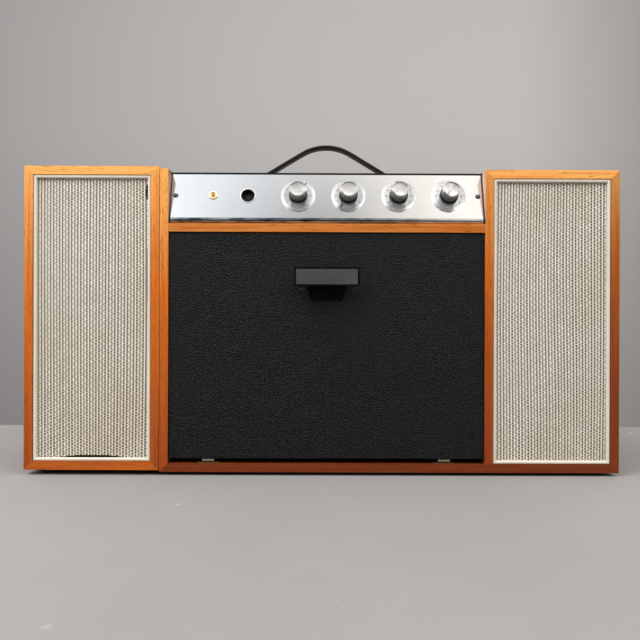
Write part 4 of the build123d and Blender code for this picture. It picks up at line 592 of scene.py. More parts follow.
def make_pebble():
    """Cells with rounded tops: the distance to the nearest border, rounded off, plus fine noise."""
    group, entry, leave = new_group(
        "pebble_grain", {"Place": "Vector", "Cells": "Float"}, ["Height", "Valley"]
    )
    waver = node(group, "TexNoise", Vector=entry["Place"], Scale=260.0, Detail=2.0)
    bent = node(group, "VectorMath", {"operation": "MULTIPLY_ADD"})
    for socket, value in zip(bent.inputs, (waver.outputs["Color"], (CELL_WAVER,) * 3, entry["Place"])):
        feed(socket, value)
    cells = node(group, "TexVoronoi", {"feature": "DISTANCE_TO_EDGE"}, Vector=bent.outputs[0],
                 Scale=entry["Cells"])
    border = cells.outputs["Distance"]
    rounded = sums("POWER", between(border, 0.0, 0.34), 0.6)
    fine = noise(entry["Place"], 3800.0, 2.0)
    wire(leave, Height=scaled(fine, 0.22, rounded), Valley=between(border, 0.10, 0.0))
    return group


PEBBLE = make_pebble()


def leathercloth_finish(name, cells, colour=BLACK, sheen=0.05):
    material, tree, shader = finish_of(
        name, Specular_IOR_Level=0.17, Sheen_Weight=sheen, Sheen_Roughness=0.45,
        Sheen_Tint=(0.42, 0.45, 0.50),
    )
    place = object_place(tree)
    pebble = use_group(PEBBLE, Place=place, Cells=cells)
    dust = use_group(DUST, Place=place, Patches=9.0, Specks=620.0)
    base = dusted(dust, colour, 0.16, WORN_BLACK, 0.20, (0.10, 0.095, 0.09))
    # painted shade: the valleys between the pebble cells are darkened
    base = blended(times(pebble["Valley"], 0.6), base, VALLEY_PAINTED_SHADE)
    roughness = scaled(dust["Film"], 0.10, scaled(pebble["Valley"], 0.25, 0.36))
    wire(shader, Base_Color=base, Roughness=roughness, Normal=bumped(pebble["Height"], 0.0008))
    return material


dress(leathercloth_finish("door_leathercloth", 430.0), "door_covering")
dress(leathercloth_finish("cover_leathercloth", 500.0), "top_cover")


# %% Plain black mouldings, rubber and the boards that don't show
def moulded_finish(name, colour, roughness, grain_scale=2400.0, depth=0.00002, **constants):
    """Moulded plastic or rubber: a very fine grain, and dust that dulls it in patches."""
    material, tree, shader = finish_of(name, **constants)
    place = object_place(tree)
    dust = use_group(DUST, Place=place, Patches=22.0, Specks=1100.0)
    grey = tuple(min(1.0, channel * 1.5 + 0.006) for channel in colour)
    base = dusted(dust, colour, 0.22, grey, 0.3, (0.3, 0.29, 0.27))
    wire(shader, Base_Color=base, Roughness=scaled(dust["Film"], 0.15, roughness),
         Normal=bumped(noise(place, grain_scale, 2.0), depth, 0.7))
    return material


def board_finish(name, light, dark, fibre=900.0):
    """Sheet board: flecks of fibre in two tones, and a dull face."""
    material, tree, shader = finish_of(name, Specular_IOR_Level=0.25)
    place = object_place(tree)
    fleck = noise(place, fibre, 5.0, 0.7)
    cloud = noise(place, 18.0, 4.0)
    base = blended(between(fleck, 0.35, 0.65), dark, light)
    base = blended(between(cloud, 0.35, 0.7, 0.0, 0.35), base, dark)
    wire(shader, Base_Color=base, Roughness=between(fleck, 0.3, 0.7, 0.55, 0.8),
         Normal=bumped(fleck, 0.00008, 0.5))
    return material


BLACK_MOULDING = moulded_finish("black_moulding", (0.0025, 0.0025, 0.0028), 0.36, Specular_IOR_Level=0.22)
RUBBER = moulded_finish("black_rubber", (0.018, 0.018, 0.018), 0.72, 1400.0, 0.00006)
dress(RUBBER, "cabinet_feet", "speaker_feet", "platter_mat", "idler_wheel")
PULL_BLACK = moulded_finish("pull_moulding", (0.0010, 0.0010, 0.0011), 0.5, Specular_IOR_Level=0.05)
dress(PULL_BLACK, "pull_handle")
dress(BLACK_MOULDING, "lead_socket", "mains_gland", "din_sockets", "cartridge", "arm_rest")
dress(board_finish("back_hardboard", (0.34, 0.20, 0.11), (0.19, 0.10, 0.05)), "back_panel", "speaker_back")
dress(board_finish("baffle_chipboard", (0.035, 0.032, 0.03), (0.016, 0.015, 0.014)),
      "baffle_left", "baffle_right")
dress(board_finish("door_chipboard", (0.05, 0.045, 0.04), (0.025, 0.022, 0.02)), "door_board")
dress(board_finish("driver_paper", (0.10, 0.09, 0.08), (0.05, 0.045, 0.04), 1500.0),
      "speaker_driver_left", "speaker_driver_right")
dress(moulded_finish("cream_moulding", (0.62, 0.56, 0.44), 0.34), "tonearm", "overarm", "tonearm_turret",
      "arm_pedestal", "speed_lever", "start_lever")
dress(moulded_finish("deck_enamel", (0.55, 0.51, 0.42), 0.42, 1900.0, 0.00003), "deck_plate")
dress(moulded_finish("deck_frame_board", (0.022, 0.021, 0.02), 0.55), "deck_frame")

# %% [markdown]
# ## Metal
# The control panel is polished aluminium, so what it shows is mostly the room. It mirrors the room
# sharply across, and its level brush lines spread what it mirrors up and down. Its own marks are only
# wiping haze and specks; a streaky dark band along its rolled lower lip is a painted reflection.
# Steel screws and brass hinges are duller and have tarnish in patches.

# %% Make the metals
PANEL_ROLL_TOP = panel_low[2] + 7.3 * MM
PANEL_ROLL_EDGE = 0.9 * MM
PANEL_LIP_PAINTED_REFLECTION = (0.07, 0.07, 0.085)


def metal_finish(name, colour, roughness, tarnish, haze=0.10, brushed=None, depth=0.0000035):
    """Bare metal: haze and tarnish in patches. brushed is the stretch of the brush lines, and depth
    is how deep they are."""
    material, tree, shader = finish_of(name, Metallic=1.0)
    place = object_place(tree)
    dust = use_group(DUST, Place=place, Patches=26.0, Specks=1300.0)
    base = dusted(dust, colour, 0.35, tarnish, 0.5, tarnish)
    rough = scaled(dust["Film"], haze, roughness)
    if brushed is None:
        lines = noise(place, 900.0, 3.0)
    else:
        lines = noise(object_place(tree, brushed), 1.0, 3.0, 0.6)
        rough = scaled(lines, 0.06, rough)
    wire(shader, Base_Color=base, Roughness=rough, Normal=bumped(lines, depth, 0.6))
    return material


def overlaid(material, share, colour):
    """Mixes one more colour over the base colour of a finished material, by a share that was worked
    out in the same tree."""
    tree = material.node_tree
    base = tree.nodes["Principled BSDF"].inputs["Base Color"]
    feed(base, blended(share, base.links[0].from_socket, colour))
    return material


def panel_finish():
    """Polished sheet, with a painted dark reflection along its rolled lower lip, weaker towards the right.
    """
    material = metal_finish("polished_panel", (0.80, 0.805, 0.81), 0.06, (0.64, 0.64, 0.63), 0.06,
                            (18, 2600, 2600), 0.000010)
    tree = material.node_tree
    across, _, height = split(object_place(tree))
    streak = noise(object_place(tree, (60, 300, 300)), 1.0, 3.0)
    # painted reflection: a streaky dark band along the rolled lip, weaker towards the right
    lip_reflection = between(height, PANEL_ROLL_TOP, PANEL_ROLL_TOP - PANEL_ROLL_EDGE)
    lip_reflection = times(lip_reflection, between(streak, 0.35, 0.62, 1.0, 0.62))
    lip_reflection = times(lip_reflection, between(across, 0.07, 0.13, 1.0, 0.50))
    return overlaid(material, lip_reflection, PANEL_LIP_PAINTED_REFLECTION)


dress(panel_finish(), "control_panel")
BLACKENED = metal_finish("blackened_screws", (0.15, 0.145, 0.14), 0.24, (0.06, 0.05, 0.05), 0.2)
STEEL = metal_finish("screw_steel", (0.52, 0.51, 0.50), 0.30, (0.26, 0.22, 0.18), 0.25)
BRASS = metal_finish("hinge_brass", (0.26, 0.21, 0.14), 0.42, (0.12, 0.09, 0.06), 0.22)
CHROME = metal_finish("bright_plate", (0.80, 0.80, 0.80), 0.12, (0.55, 0.55, 0.54), 0.08)
dress(BLACKENED, "cabinet_screws")
dress(STEEL, "speaker_screws", "dock_studs", "keyhole_plates", "door_catches",
      "potentiometers", "amplifier", "motor", "motor_pulley")
dress(BRASS, "cabinet_hinge_leaves", "door_hinge_leaves")
dress(CHROME, "centre_spindle")
dress(moulded_finish("platter_enamel", (0.30, 0.28, 0.25), 0.36), "platter")
dress(metal_finish("brushed_insert", (0.19, 0.19, 0.19), 0.34, (0.10, 0.10, 0.10), 0.10, (30, 30, 5200)),
      "pull_plate")
dress(moulded_finish("grille_bead", (0.66, 0.62, 0.52), 0.40, Specular_IOR_Level=0.5),
      "grille_trim_left", "grille_trim_right")
print("materials so far:", len(bpy.data.materials))

# %% [markdown]
# ## Grille cloth
# The cloth repeats every three cords, 3.4 mm apart. The first cord of the three is thin, hard spun
# and white, and runs straight. The other two are thick and soft, and dip under a hidden crossing
# thread every 6.7 mm, each half a step after its neighbour, so that they look like rows of beads.
# A flat picture would lose this at the edges, so the cloth is a real relief. Its height is a cosine
# across each cord, times a cosine along it.

# %% Shape the woven cloth
CORD_PITCH = 3.43 * MM
BEAD_PITCH = 6.7 * MM
CORDS_IN_REPEAT = 3
STEPS_PER_CORD = 6
STEPS_PER_BEAD = 8
CORD_RELIEF = 0.20 * MM
BEAD_RELIEF = 0.15 * MM
CORD_SWAY = 0.35
BEAD_SWAY = 0.25
CLOTH_BASE = 0.26 * MM


def smooth_noise(first, second, seed, waves=7):
    """A sum of sines with random directions: smooth, repeatable and between about -1 and 1."""
    source = np.random.default_rng(seed)
    total = np.zeros(np.broadcast(first, second).shape)
    for _ in range(waves):
        a, b = source.normal(size=2)
        total += np.sin(a * first + b * second + source.uniform(0, 2 * np.pi))
    return total / math.sqrt(waves)


def weave(across, along, seed):
    """Height of the cloth over its back, with across counted in cords and along in beads."""
    number = np.floor(across + 0.5)
    thin = np.mod(number, CORDS_IN_REPEAT) == 0
    cord = 0.5 + 0.5 * np.cos(2 * np.pi * across)
    bead = np.cos(2 * np.pi * along + np.pi * number)
    slub = 0.5 + 0.5 * smooth_noise(number * 2.1, along * 0.55, seed)
    soft = CORD_RELIEF * cord * (0.7 + 0.4 * slub) + BEAD_RELIEF * cord * bead
    return CLOTH_BASE + np.where(thin, 1.3 * CORD_RELIEF * cord, soft)


def cloth_shells(low, high, seed):
    """A relief in front and four narrow rims, between two corners. build_mesh closes the back."""
    columns = int((high[0] - low[0]) / CORD_PITCH * STEPS_PER_CORD) + 1
    rows = int((high[2] - low[2]) / BEAD_PITCH * STEPS_PER_BEAD) + 1
    x, z = np.meshgrid(np.linspace(low[0], high[0], columns), np.linspace(low[2], high[2], rows))
    across = (x - low[0]) / CORD_PITCH + CORD_SWAY * smooth_noise(x * 26, z * 9, seed + 1)
    along = (z - low[2]) / BEAD_PITCH + BEAD_SWAY * smooth_noise(x * 60, z * 14, seed + 2)
    height = weave(across, along, seed)
    back = high[1]
    uv = np.stack([across, along], axis=-1)
    front = np.stack([x, back - height, z], axis=-1)
    behind = front.copy()
    behind[..., 1] = back
    shells = [grid(front, uv)]
    for edge in (np.s_[:, :1], np.s_[:, -1:], np.s_[:1, :], np.s_[-1:, :]):
        pair = np.concatenate([front[edge].reshape(1, -1, 3), behind[edge].reshape(1, -1, 3)])
        pair_uv = np.concatenate([uv[edge].reshape(1, -1, 2)] * 2)
        shells.append(grid(pair, pair_uv))
    return shells


# %% [markdown]
# The threads' colours follow the same two counts, which the mesh carries as its UVs. Over each cord's
# own tone, slubs and fibres, the cord and bead tops get a painted highlight, the flanks a painted beige
# shade, and the holes where four cords meet are painted dark as shade. Years of smoke and sun have
# left it unevenly tanned.

# %% Colour the threads
CLOTH_WHITE = (0.92, 0.89, 0.82)
CLOTH_CREAM = (0.70, 0.66, 0.57)
CLOTH_BEIGE = (0.46, 0.41, 0.335)
CLOTH_HOLE_SHADE = (0.022, 0.018, 0.013)
CLOTH_TORN = (0.004, 0.004, 0.003)
CLOTH_TAN = (0.70, 0.52, 0.33)


def cosine(value, turns=1.0):
    """cos(2 pi turns value), moved to run from 0 to 1."""
    return scaled(sums("COSINE", times(value, 2 * math.pi * turns)), 0.5, 0.5)


def cloth_finish(name, tan, seed):
    material, tree, shader = finish_of(name, Specular_IOR_Level=0.15)
    across, along = surface_place(tree)
    number = sums("FLOOR", plus(across, 0.5))
    thin = sums("LESS_THAN", sums("FLOORED_MODULO", number, CORDS_IN_REPEAT), 0.5)
    cord = cosine(across)
    bead = cosine(scaled(number, 0.5, along))
    own = node(tree, "TexWhiteNoise", {"noise_dimensions": "1D"}, W=number).outputs["Value"]

    def thread_noise(wide, long, scale):
        return noise(gathered(X=times(wide, 7.31), Y=times(along, long), Z=seed), scale, 3.0, 0.6)

    # how pale the soft cords are: their tops and beads, a painted highlight and painted shade that follow
    # the relief, then each cord's own tone, slubs and fibres
    slub = thread_noise(number, 1.0, 0.8)
    fibre = thread_noise(across, 2.6, 1.2)
    soft = times(sums("POWER", cord, 0.9), scaled(bead, 0.75, 0.34))
    soft = times(soft, scaled(own, 0.20, 0.90))
    soft = plus(soft, scaled(slub, 1.1, -0.52))
    soft = plus(soft, scaled(fibre, 0.7, -0.35), clamp=True)
    base = blended(soft, CLOTH_BEIGE, CLOTH_CREAM)
    base = blended(between(soft, 0.75, 1.3), base, CLOTH_WHITE)

    # the thin cord is half beige, and white on top as a painted highlight, with a knot for each half bead
    base = blended(times(thin, 0.5), base, CLOTH_BEIGE)
    bright = times(between(cord, 0.78, 0.97), between(slub, 0.30, 0.55, 0.55, 1.0))
    bright = times(bright, scaled(cosine(along, 2.0), 0.40, 0.65))
    base = blended(times(thin, bright), base, CLOTH_WHITE)

    # painted shade: dark holes between cords, stepped by a quarter of a bead from one gap to the next
    gap_number = sums("FLOOR", across)
    gap = between(cord, 0.66, 0.24)
    dot = between(cosine(scaled(gap_number, 0.25, along), 2.0), 0.22, 0.55, 0.05, 1.0)
    middle = sums("COMPARE", sums("FLOORED_MODULO", gap_number, CORDS_IN_REPEAT), 1.0, 0.5)
    hole_shade = times(gap, times(dot, scaled(middle, -0.30, 1.0)))
    base = blended(times(hole_shade, 0.97), base, CLOTH_HOLE_SHADE)

    stain_and_painted_tone = noise(object_place(tree, (7, 7, 5), (seed, 0, 0)), 1.0, 4.0, 0.6)
    base = blended(between(stain_and_painted_tone, 0.42, 0.75, 0.0, tan), base, CLOTH_TAN, "MULTIPLY")
    torn = node(tree, "Attribute", {"attribute_name": TEAR}).outputs["Fac"]
    base = blended(torn, base, CLOTH_TORN)
    wire(shader, Base_Color=base, Roughness=between(fibre, 0.3, 0.7, 0.72, 0.92),
         Normal=bumped(fibre, 0.00015, 0.8))
    return material


# %% [markdown]
# The left cloth is worn: a slit at its right edge, a loose edge below that, and a frayed foot. A mask
# on the mesh says where, and the finish turns those places nearly black.

# %% Stretch the cloth over both baffles
TEAR = "tear"
TEAR_INSIDE = 4.3 * MM
SLIT_HEIGHT, SLIT_HALF, SLIT_WIDE, SLIT_SHIFT = 318 * MM, 9 * MM, 1.5 * MM, 0.6 * MM
LOOSE_HEIGHT, LOOSE_HALF, LOOSE_WIDE = 225 * MM, 30 * MM, 0.8 * MM
FRAYED_X, FRAYED_HALF, FRAYED_RISE, FRAYED_CROWN = 66 * MM, 40 * MM, 3.6 * MM, 3.0 * MM


def tear_mask(points, low, high):
    """The slit is an ellipse and the frayed foot a parabola. The loose edge is only 0.7 dark."""
    x, _, z = points.T
    edge = high[0] - TEAR_INSIDE
    share = np.clip(np.abs(z - SLIT_HEIGHT) / SLIT_HALF, 0, 1)
    slit = np.abs(x - edge + SLIT_SHIFT) < SLIT_WIDE * np.sqrt(1 - share**2)
    loose = (x > edge - LOOSE_WIDE) & (np.abs(z - LOOSE_HEIGHT) < LOOSE_HALF)
    across = np.clip((x - low[0] - FRAYED_X) / FRAYED_HALF, -1, 1)
    frayed = z < low[2] + FRAYED_RISE + FRAYED_CROWN * (1 - across**2)
    return np.maximum(np.maximum(slit, frayed), 0.7 * loose)


for number, (side, body) in enumerate((("left", "left_speaker"), ("right", "cabinet"))):
    node_name = "grille_cloth_" + side
    low, high = (np.array(corner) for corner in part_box(node_name))
    shells = cloth_shells(low, high, 40 + 10 * number)
    points = joined(shells)[0]
    tear = tear_mask(points, low, high) if side == "left" else np.zeros(len(points))
    finish = cloth_finish("grille_weave_" + side, 0.30 + 0.15 * number, 3.0 + number)
    cloth = piece("woven_cloth_" + side, shells, body, finish, [node_name], {TEAR: tear})
    print(cloth.name, "triangles:", triangles(cloth.data))

# %% [markdown]
# ## Knobs
# Each control has four parts that turn together: a spun metal cap with a turned-in rim and 22 flutes
# round its side, a black ring at its foot, and a clear skirt with a pointer line. A revolved profile
# is the natural way to make turned parts, and the flutes are a cosine taken off the radius.

# %% Sizes and finishes of the knobs
SKIRT_RADIUS = 19.5 * MM
SKIRT_TOP = 2.6 * MM
SKIRT_SLOPE = 3.3 * MM
FLUTES = 22
FLUTE_DEPTH = 0.30 * MM
FLUTES_LOW, FLUTES_HIGH = 6.2 * MM, 14.8 * MM
FLUTES_OUTSIDE = 9.2 * MM

# shares of the way along a profile: the cap's fluted side, and the middle of the skirt's bevel
SIDE_FROM = 0.42
SIDE_TO = 0.675
BEVEL_MIDDLE = 0.515


def spun_finish():
    """Turned metal: rings round the axis, and a highlight that fans out because of them. The rim and
    the side get a painted shade, and the valleys between the flutes are painted nearly black as shade."""
    material, tree, shader = finish_of(
        "spun_cap", Metallic=1.0, Anisotropic=0.97, Anisotropic_Rotation=0.25
    )
    tangent = node(tree, "Tangent", {"direction_type": "UV_MAP", "uv_map": SURFACE_UV}).outputs[0]
    turn, along = surface_place(tree)
    rings = noise(gathered(Y=along), 240.0, 3.0)
    dust = use_group(DUST, Place=object_place(tree), Patches=160.0, Specks=1500.0)
    base = blended(between(rings, 0.3, 0.7, 0.0, 0.6), (0.62, 0.61, 0.595), (0.33, 0.325, 0.32))
    # painted shade: from the rim onward the cap is darker
    base = blended(between(along, 0.25, 0.30, 0.0, 0.6), base, (0.22, 0.22, 0.235))
    valley = between(cosine(turn, FLUTES), 0.55, 0.10)
    on_side = times(sums("GREATER_THAN", along, SIDE_FROM), sums("LESS_THAN", along, SIDE_TO))
    # painted shade: the flute valleys on the side are darkened
    base = blended(times(times(valley, on_side), 0.8), base, (0.05, 0.05, 0.055))
    base = blended(times(dust["Film"], 0.25), base, (0.45, 0.43, 0.40))
    wire(shader, Base_Color=base, Roughness=between(rings, 0.3, 0.7, 0.17, 0.26),
         Normal=bumped(rings, 0.00001, 0.6), Tangent=tangent)
    return material


def clear_finish():
    """Clear acrylic, a little hazed by wiping, with a bevel that was left matt."""
    material, tree, shader = finish_of("clear_skirt", IOR=1.25, Transmission_Weight=0.88)
    _, along = surface_place(tree)
    bevel = between(sums("ABSOLUTE", minus(along, BEVEL_MIDDLE)), 0.10, 0.05)
    haze = noise(object_place(tree), 300.0, 4.0)
    wire(shader, Base_Color=blended(bevel, (0.96, 0.965, 0.965), (1.0, 1.0, 1.0)),
         Roughness=scaled(bevel, 0.3, between(haze, 0.4, 0.8, 0.02, 0.07)))
    return material


SPUN = spun_finish()
CLEAR = clear_finish()
INK = moulded_finish("printed_black", (0.012, 0.012, 0.012), 0.5)

# from the middle of the face out to the rim, down the side and in under the foot
CAP_PROFILE = np.array([
    (0.0, 17.55), (2.0, 17.56), (4.5, 17.62), (7.0, 17.72), (7.75, 17.8), (7.95, 17.2), (8.35, 17.2),
    (8.5, 17.9), (8.75, 18.0), (9.0, 17.9), (9.22, 17.6), (9.3, 17.2), (9.3, 16.5), (9.0, 16.2),
    (8.95, 15.9), (9.0, 15.6), (9.3, 15.3), (9.3, 14.6), (9.3, 12.0), (9.3, 9.0), (9.3, 6.4),
    (9.1, 6.0), (9.1, 5.0), (0.0, 5.0),
]) * MM
FOOT_PROFILE = np.array([
    (0.0, 5.0), (9.2, 5.0), (9.35, 4.4), (10.1, 4.3), (10.4, 4.15), (10.5, 3.8), (10.5, 2.65), (0.0, 2.65),
]) * MM
SKIRT_PROFILE = np.array([
    (7.65, 0.62), (12.0, 0.62), (19.2, 0.62), (19.45, 0.75), (19.5, 1.1), (19.4, 1.35), (16.4, 2.5),
    (16.0, 2.6), (12.0, 2.6), (7.65, 2.6), (7.65, 0.62),
]) * MM


def cap_relief(angle, radius, height):
    """Flutes on the side between the groove and the foot: -depth (1 - cos n a) / 2."""
    side = (height > FLUTES_LOW) & (height < FLUTES_HIGH) & (radius > FLUTES_OUTSIDE)
    return np.where(side, -FLUTE_DEPTH * (0.5 - 0.5 * np.cos(FLUTES * angle)), 0)


# %% [markdown]
# The pointer is a thin black line on the skirt, so it turns with the knob. The dial dots belong to
# the panel. Both are slightly raised, as silk-screened ink is. At rest each pointer stands where the
# owner left it.

# %% Build the four knobs and their dials
POINTER_TURNS = {"balance": 31.0, "volume": 212.0, "treble": -5.0, "bass": 7.0}
POINTER_FROM = 12.7 * MM
POINTER_TO = 18.3 * MM
POINTER_HALF = 0.55 * MM
SLOPE_DROP = 1.2 * MM
INK_HEIGHT = 0.05 * MM
INK_GAP = 0.02 * MM
DOT_CIRCLE = 14.0 * MM
DOT_RADIUS = 0.85 * MM
DOT_ANGLES = np.radians(np.arange(-150, 151, 30))


def ink_bar(turn_degrees):
    """A bar that follows the skirt's top and slope, at an angle clockwise from the top."""
    reach = np.array([POINTER_FROM, SKIRT_RADIUS - SKIRT_SLOPE, POINTER_TO])
    under = SKIRT_TOP - np.array([0, 0, SLOPE_DROP / SKIRT_SLOPE * (POINTER_TO - reach[1])])
    edges = []
    for side, lift in ((-1, 0), (1, 0), (1, 1), (-1, 1), (-1, 0)):
        x = np.full(3, side * POINTER_HALF)
        edges.append(np.stack([x, reach, under + INK_GAP + lift * INK_HEIGHT], axis=-1))
    return placed(joined(closed_bar(edges)), Matrix.Rotation(-math.radians(turn_degrees), 4, "Z"))


def ink_dot(angle):
    dot = revolved([(0, 0), (DOT_RADIUS, 0), (DOT_RADIUS, INK_HEIGHT), (0, INK_HEIGHT)], 12)
    return placed(dot, Matrix.Translation((DOT_CIRCLE * math.sin(angle), DOT_CIRCLE * math.cos(angle), 0)))


for name, place in KNOB_ON_FACE.items():
    body = name + "_control"
    cap = revolved(CAP_PROFILE, 240, cap_relief)
    piece(name + "_cap", [placed(cap, place)], body, SPUN, [name + "_knob"])
    piece(name + "_foot", [placed(revolved(FOOT_PROFILE), place)], body, BLACK_MOULDING)
    piece(name + "_skirt", [placed(revolved(SKIRT_PROFILE, 96), place)], body, CLEAR)
    piece(name + "_pointer", [placed(ink_bar(POINTER_TURNS[name]), place)], body, INK)
    dots = [placed(ink_dot(angle), place) for angle in DOT_ANGLES]
    piece(name + "_dial_dots", dots, "cabinet", INK)
print("knobs:", list(KNOB_ON_FACE))

# %% [markdown]
# ## Lamp and tape socket
# The lamp is an amber bead in a turned gilt ring. The ring and the bead are revolved. Amber plastic
# scatters the light that enters it, and the bead also has a faint painted glow. The socket keeps its
# node and gets the thin bright ring that holds it.

# %% Make the lamp and the socket's ring
LAMP_X = -153.7 * MM
SOCKET_X = -114.3 * MM
lamp_place = on_panel(LAMP_X)
socket_place = on_panel(SOCKET_X)
GILT = metal_finish("lamp_gilt", (0.80, 0.64, 0.33), 0.40, (0.56, 0.42, 0.20), 0.10)


def amber_finish():
    # Emission_Strength gives the bead a faint painted glow
    material, tree, shader = finish_of(
        "amber_lens", Roughness=0.12, Subsurface_Weight=0.6, Subsurface_Radius=(0.002, 0.001, 0.0003),
        Specular_IOR_Level=0.4, Emission_Strength=0.04,
    )
    base = blended(noise(object_place(tree), 700.0, 2.0), (0.36, 0.17, 0.03), (0.55, 0.30, 0.07))
    wire(shader, Base_Color=base, Emission_Color=base)
    return material


RING_PROFILE = np.array([
    (2.2, 0.0), (5.0, 0.0), (5.0, 0.6), (4.8, 1.1), (4.4, 1.5), (3.9, 1.6), (3.2, 1.35), (2.4, 0.8),
    (2.2, 0.0),
]) * MM
LENS_PROFILE = np.array([
    (0.0, 1.9), (0.6, 1.87), (1.2, 1.7), (1.8, 1.4), (2.15, 1.0), (2.3, 0.6), (2.3, 0.1), (0.0, 0.1),
]) * MM
SOCKET_RING = np.array([
    (7.88, 0.02), (8.9, 0.02), (8.9, 0.25), (8.7, 0.4), (8.1, 0.45), (7.88, 0.35), (7.88, 0.02),
]) * MM
piece("lamp_ring", [placed(revolved(RING_PROFILE), lamp_place)], "cabinet", GILT, ["pilot_lamp"])
piece("lamp_lens", [placed(revolved(LENS_PROFILE), lamp_place)], "cabinet", amber_finish())
piece("socket_ring", [placed(revolved(SOCKET_RING), socket_place)], "cabinet", STEEL)

# %% [markdown]
# ## The handle
# The handle is a steel spring in a black moulded cover: flat below, rounded above, with a shallow
# ribbed channel along its underside that carries a painted brown reflection. It springs from two
# moulded shoes, rises at 31 degrees and bends over the crown. Its path is two flanks joined by arcs,
# and the section is carried along it, growing at the ends where it fills the shoes.

# %% Shape the handle
HANDLE_RISE = math.radians(31.0)
CROWN_BEND = 58.5 * MM
FOOT_BEND = 30.0 * MM
HALF_SPAN = 92.3 * MM
strap_low, strap_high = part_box("handle_strap")
HANDLE_X = (strap_low[0] + strap_high[0]) / 2
HANDLE_Y = (strap_low[1] + strap_high[1]) / 2
REST_Z = strap_low[2] + 3.5 * MM
STRAP_HALF_WIDTH = 7.0 * MM
STRAP_HALF_THICK = 2.5 * MM
PATH_STEPS = 260
SECTION_STEPS = 72
SWELL_FROM = 0.80
SWELL_OVER = 0.10
SWELL_WIDTH = 1.9 * MM
SWELL_THICK = 0.9 * MM
CHANNEL_DEPTH = 0.28


def rounded_path(corners, bends, steps=14):
    """Points along straight runs, with an arc of a given radius at each inner corner."""
    points = [corners[0]]
    for before, corner, after, bend in zip(corners, corners[1:], corners[2:], bends):
        into = (corner - before) / np.linalg.norm(corner - before)
        out = (after - corner) / np.linalg.norm(after - corner)
        turn = math.acos(float(np.dot(into, out)))
        cut = bend * math.tan(turn / 2)
        middle = corner + (out - into) / np.linalg.norm(out - into) * bend / math.cos(turn / 2)
        start = corner - into * cut
        for share in np.linspace(0, 1, steps):
            arm = (start - middle) * math.cos(turn * share) + into * bend * math.sin(turn * share)
            points.append(middle + arm)
    points.append(corners[-1])
    return np.array(points)


def evenly(path, count):
    """The same path, with points at even distances."""
    travelled = np.concatenate([[0], np.cumsum(np.linalg.norm(np.diff(path, axis=0), axis=1))])
    places = np.linspace(0, travelled[-1], count)
    return np.stack([np.interp(places, travelled, path[:, k]) for k in range(2)], axis=-1)


reach = strap_high[0] - HANDLE_X
crown = HALF_SPAN * math.tan(HANDLE_RISE)
corners = [(-reach, 0), (-HALF_SPAN, 0), (0, crown), (HALF_SPAN, 0), (reach, 0)]
bends = (FOOT_BEND, CROWN_BEND, FOOT_BEND)
path = evenly(rounded_path([np.array(point) for point in corners], bends), PATH_STEPS)
path += np.array([HANDLE_X, REST_Z])
slope = np.gradient(path, axis=0)
slope /= np.linalg.norm(slope, axis=1)[:, None]
normal = np.stack([-slope[:, 1], slope[:, 0]], axis=-1)

# a share s of the way into a shoe swells the strap by s^2 (3 - 2 s)
share = np.clip((np.abs(np.linspace(-1, 1, len(path))) - SWELL_FROM) / SWELL_OVER, 0, 1)
swell = share**2 * (3 - 2 * share)
half_width = STRAP_HALF_WIDTH + swell * SWELL_WIDTH
half_thick = STRAP_HALF_THICK + swell * SWELL_THICK

# a squared oval: |cos|^0.6 and |sin|^0.8 with their signs, and a channel along the underside
turns = np.linspace(0, 2 * np.pi, SECTION_STEPS + 1)
turns[-1] = 0.0
side = np.sign(np.cos(turns)) * np.abs(np.cos(turns)) ** 0.6
rise = np.sign(np.sin(turns)) * np.abs(np.sin(turns)) ** 0.8
channel = np.where((rise < -0.9) & (np.abs(side) < 0.62), CHANNEL_DEPTH, 0.0)
offset = (rise + channel)[None, :] * half_thick[:, None]
strap = np.stack([
    path[:, :1] + normal[:, :1] * offset,
    HANDLE_Y + side[None, :] * half_width[:, None],
    path[:, 1:] + normal[:, 1:] * offset,
], axis=-1)
ends = [np.stack([np.tile(ring.mean(axis=0), (len(turns), 1)), ring]) for ring in (strap[0], strap[-1])]


def handle_finish():
    """Black cover, with a painted brown reflection on the channel where the section faces down, 0.75 of a
    turn round.
    """
    material = leathercloth_finish("handle_cover", 900.0, (0.010, 0.0098, 0.0095), 0.08)
    turn, length = surface_place(material.node_tree)
    # painted reflection: the downward channel is painted brown, in ribs
    below = between(sums("ABSOLUTE", minus(turn, 0.75)), 0.135, 0.110)
    brown = blended(cosine(length, 140.0), (0.30, 0.215, 0.175), (0.55, 0.43, 0.37))
    return overlaid(material, below, brown)


piece("carrying_strap", [grid(strap)] + [grid(end) for end in ends], "cabinet",
      handle_finish(), ["handle_strap"])
dress(BLACK_MOULDING, "handle_end_caps")

# %% [markdown]
# ## The web under the pull
# The pull is a cap on a stem, and a curved web joins both to the door below the cap. The web is a
# black piece that faces down and stands in for the pull's shadow on the door: painted shade made as a
# black tongue. Its side view is a quarter of a hollow curve, from the cap's lower edge back to the
# door, and it narrows towards the door.

# %% Shape the web
WEB_DROP = 14.5 * MM
WEB_TOP_HALF = 22.0 * MM
WEB_FOOT_HALF = 18.0 * MM
WEB_INSET = 3.2 * MM
WEB_EDGE = 0.3 * MM
WEB_OVERLAP = 1.0 * MM
WEB_ROWS = 17
pull_low, pull_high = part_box("pull_handle")


